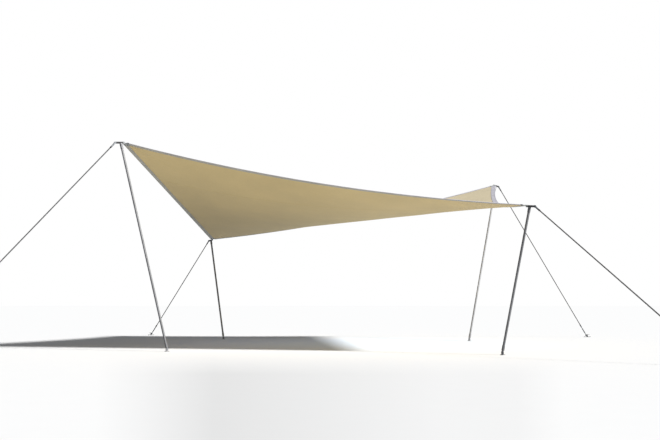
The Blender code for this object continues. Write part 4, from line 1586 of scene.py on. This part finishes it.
class STRETCH_TENT_OT_stage(Operator):
    """Sets up the camera, the pale floor and the light"""

    bl_idname = "stretch_tent.stage"
    bl_label = "Stage"
    bl_options = {"REGISTER", "UNDO"}

    def execute(self, context):
        make_camera()
        make_lights()
        make_floor()
        make_sky()
        return {"FINISHED"}


class STRETCH_TENT_OT_canopy(Operator):
    """Makes the canopy's cloth with its welded seams"""

    bl_idname = "stretch_tent.canopy"
    bl_label = "Canopy"
    bl_options = {"REGISTER", "UNDO"}

    def execute(self, context):
        finish_library()
        make_canopy()
        return {"FINISHED"}


class STRETCH_TENT_OT_hems(Operator):
    """Makes the four webbing hems with their edge ropes, and the sewn corner patches"""

    bl_idname = "stretch_tent.hems"
    bl_label = "Hems and corner patches"
    bl_options = {"REGISTER", "UNDO"}

    def execute(self, context):
        finish_library()
        for name, corner in HEMS.items():
            make_hem(name, corner)
        for corner in CORNERS:
            make_patch(corner)
        return {"FINISHED"}


class STRETCH_TENT_OT_corner_plates(Operator):
    """Makes the clamping plates that hold the sail's tips"""

    bl_idname = "stretch_tent.corner_plates"
    bl_label = "Corner plates"
    bl_options = {"REGISTER", "UNDO"}

    def execute(self, context):
        finish_library()
        for corner in CORNERS:
            make_corner_plate(corner)
        return {"FINISHED"}


class STRETCH_TENT_OT_masts(Operator):
    """Makes the four leaning mast tubes"""

    bl_idname = "stretch_tent.masts"
    bl_label = "Masts"
    bl_options = {"REGISTER", "UNDO"}

    def execute(self, context):
        finish_library()
        make_masts()
        return {"FINISHED"}


class STRETCH_TENT_OT_mast_heads(Operator):
    """Makes the plates and sockets across the tops of the masts"""

    bl_idname = "stretch_tent.mast_heads"
    bl_label = "Mast heads"
    bl_options = {"REGISTER", "UNDO"}

    def execute(self, context):
        finish_library()
        make_heads()
        return {"FINISHED"}


class STRETCH_TENT_OT_mast_feet(Operator):
    """Makes the foot sleeves and the pegged base plates"""

    bl_idname = "stretch_tent.mast_feet"
    bl_label = "Mast feet and base plates"
    bl_options = {"REGISTER", "UNDO"}

    def execute(self, context):
        finish_library()
        make_feet()
        return {"FINISHED"}


class STRETCH_TENT_OT_guys(Operator):
    """Makes the guy ropes with their forks and turnbuckles"""

    bl_idname = "stretch_tent.guys"
    bl_label = "Guy ropes and tensioners"
    bl_options = {"REGISTER", "UNDO"}

    def execute(self, context):
        finish_library()
        make_guys()
        return {"FINISHED"}


class STRETCH_TENT_OT_ground_anchors(Operator):
    """Makes the pegged ground anchors"""

    bl_idname = "stretch_tent.ground_anchors"
    bl_label = "Ground anchors"
    bl_options = {"REGISTER", "UNDO"}

    def execute(self, context):
        finish_library()
        share_between(list(CORNERS), "anchor_stake", anchor_form())
        return {"FINISHED"}


OPERATORS = (
    STRETCH_TENT_OT_stage,
    STRETCH_TENT_OT_canopy,
    STRETCH_TENT_OT_hems,
    STRETCH_TENT_OT_corner_plates,
    STRETCH_TENT_OT_masts,
    STRETCH_TENT_OT_mast_heads,
    STRETCH_TENT_OT_mast_feet,
    STRETCH_TENT_OT_guys,
    STRETCH_TENT_OT_ground_anchors,
)


class STRETCH_TENT_PT_panel(Panel):
    """Lists the tent's pieces in the sidebar"""

    bl_idname = "STRETCH_TENT_PT_panel"
    bl_label = "Stretch tent"
    bl_space_type = "VIEW_3D"
    bl_region_type = "UI"
    bl_category = "Stretch tent"

    def draw(self, context):
        for operator in OPERATORS:
            self.layout.operator(operator.bl_idname)
        for name in ("sail", "mast", "colours", "stage"):
            group = getattr(context.scene.stretch_tent, name)
            box = self.layout.box()
            box.label(text=name.capitalize())
            for item in group.__annotations__:
                box.prop(group, item)


GROUPS = (SailSizes, MastSizes, TentColours, StageSettings, TentSettings)


def register():
    for item in (*GROUPS, *OPERATORS, STRETCH_TENT_PT_panel):
        bpy.utils.register_class(item)
    bpy.types.Scene.stretch_tent = PointerProperty(
        type=TentSettings, name="Stretch tent", description="Sizes and finishes of the tent"
    )


def unregister():
    del bpy.types.Scene.stretch_tent
    for item in reversed((*GROUPS, *OPERATORS, STRETCH_TENT_PT_panel)):
        bpy.utils.unregister_class(item)


def main():
    register()
    for operator in OPERATORS:
        group, name = operator.bl_idname.split(".")
        getattr(getattr(bpy.ops, group), name)()


if __name__ == "__main__":
    main()
